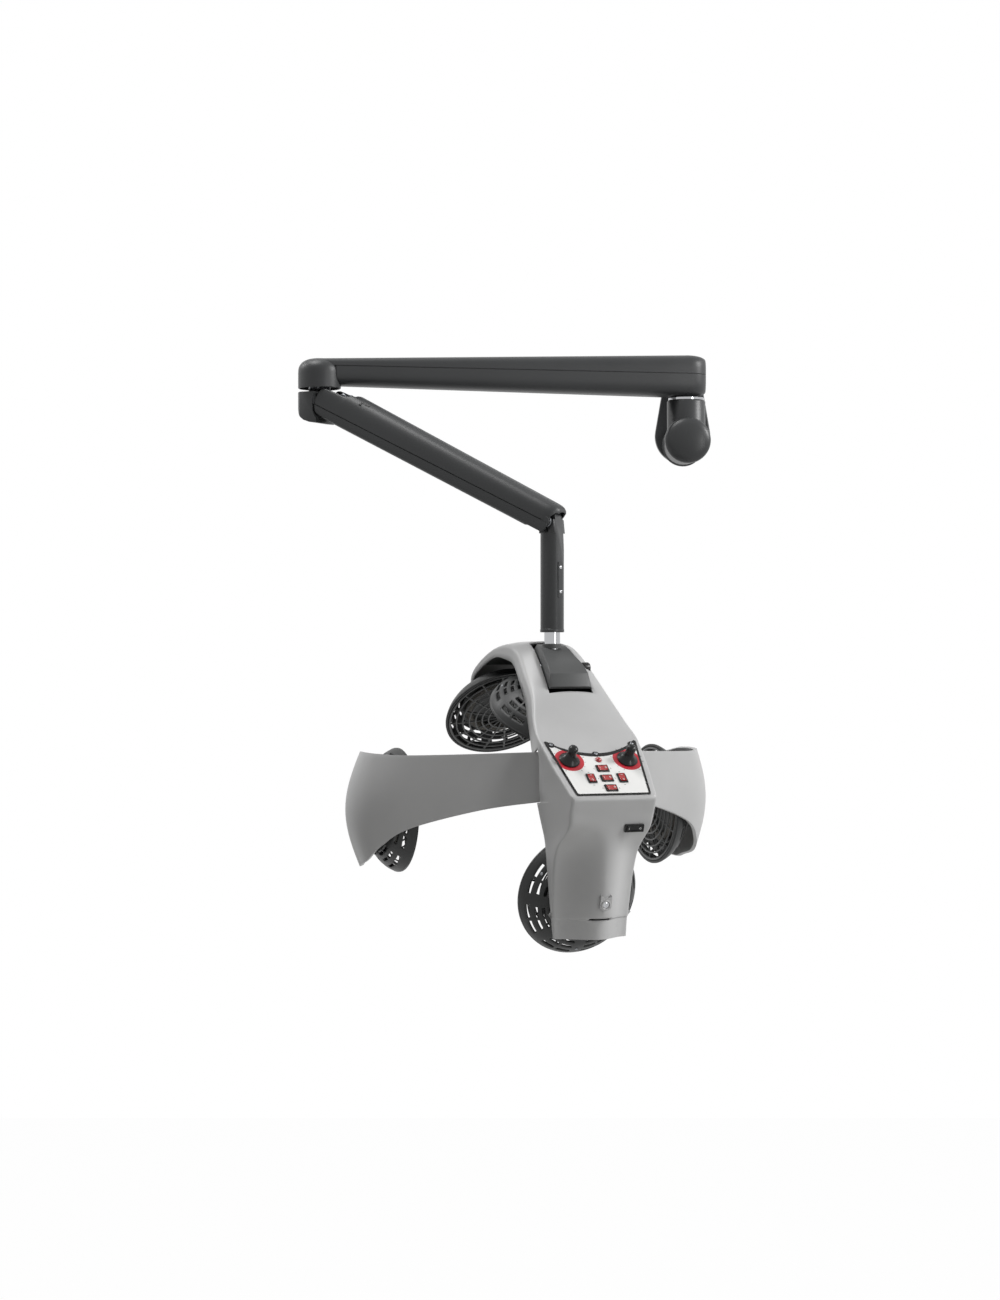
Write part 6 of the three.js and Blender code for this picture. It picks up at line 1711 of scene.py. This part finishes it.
class HAIRPROC_OT_stem(bpy.types.Operator):
    """Build the chrome post, the tilt shoe, the stem's collar, plate and rivets"""

    bl_idname = "hair_processor.stem"
    bl_label = "Stem, Post and Shoe"

    def execute(self, context):
        stem_and_post()
        tilt_shoe()
        return {"FINISHED"}


class HAIRPROC_OT_hood(bpy.types.Operator):
    """Build the hood's skin and what shows through its openings: the axle's ears, and a black sheet of painted
    shade behind the nose slot
    """

    bl_idname = "hair_processor.hood"
    bl_label = "Hood"

    def execute(self, context):
        hood_skin()
        hood_inside()
        return {"FINISHED"}


class HAIRPROC_OT_wings(bpy.types.Operator):
    """Build both wings with their hinge barrels and lamp feet"""

    bl_idname = "hair_processor.wings"
    bl_label = "Wings"

    def execute(self, context):
        wings()
        return {"FINISHED"}


class HAIRPROC_OT_lamps(bpy.types.Operator):
    """Build the five lamps: slotted dish, rim, guard, tube and reflector"""

    bl_idname = "hair_processor.lamps"
    bl_label = "Lamps"

    def execute(self, context):
        lamps()
        return {"FINISHED"}


class HAIRPROC_OT_panel(bpy.types.Operator):
    """Build the control panel with its border, rings, marks and lens"""

    bl_idname = "hair_processor.panel"
    bl_label = "Control Panel"

    def execute(self, context):
        control_panel()
        return {"FINISHED"}


class HAIRPROC_OT_dials(bpy.types.Operator):
    """Build the two flared dial knobs"""

    bl_idname = "hair_processor.dials"
    bl_label = "Dial Knobs"

    def execute(self, context):
        dial_knobs()
        return {"FINISHED"}


class HAIRPROC_OT_switches(bpy.types.Operator):
    """Build the rocker switches and their bezels"""

    bl_idname = "hair_processor.switches"
    bl_label = "Switches"

    def execute(self, context):
        switches()
        return {"FINISHED"}


class HAIRPROC_OT_fasteners(bpy.types.Operator):
    """Build the tilt knob, the nose boss and the screws"""

    bl_idname = "hair_processor.fasteners"
    bl_label = "Knob and Screws"

    def execute(self, context):
        tilt_knob()
        fasteners()
        return {"FINISHED"}


class HAIRPROC_OT_studio(bpy.types.Operator):
    """Set up the floor, the lights, the white surround and the camera"""

    bl_idname = "hair_processor.studio"
    bl_label = "Studio"

    def execute(self, context):
        studio()
        return {"FINISHED"}


OPERATORS = (
    HAIRPROC_OT_carried,
    HAIRPROC_OT_wall,
    HAIRPROC_OT_arm,
    HAIRPROC_OT_stem,
    HAIRPROC_OT_hood,
    HAIRPROC_OT_wings,
    HAIRPROC_OT_lamps,
    HAIRPROC_OT_panel,
    HAIRPROC_OT_dials,
    HAIRPROC_OT_switches,
    HAIRPROC_OT_fasteners,
    HAIRPROC_OT_studio,
)


class HAIRPROC_PT_dresser(bpy.types.Panel):
    """Sidebar panel with the settings and one button for each step"""

    bl_idname = "HAIRPROC_PT_dresser"
    bl_label = "Hair Processor"
    bl_space_type = "VIEW_3D"
    bl_region_type = "UI"
    bl_category = "Hair Processor"

    def draw(self, context):
        for group in (settings().skins, settings().lamps, settings().finishes):
            box = self.layout.box()
            for name in group.__annotations__:
                box.prop(group, name)
        for operator in OPERATORS:
            self.layout.operator(operator.bl_idname)


CLASSES = (SkinSizes, LampSizes, Finishes, DresserSettings, *OPERATORS, HAIRPROC_PT_dresser)


def register():
    for made in CLASSES:
        bpy.utils.register_class(made)
    bpy.types.Scene.hair_processor = PointerProperty(type=DresserSettings)


def unregister():
    del bpy.types.Scene.hair_processor
    for made in reversed(CLASSES):
        bpy.utils.unregister_class(made)


def main():
    register()
    for operator in OPERATORS:
        getattr(bpy.ops.hair_processor, operator.bl_idname.split(".")[1])()


if __name__ == "__main__":
    main()
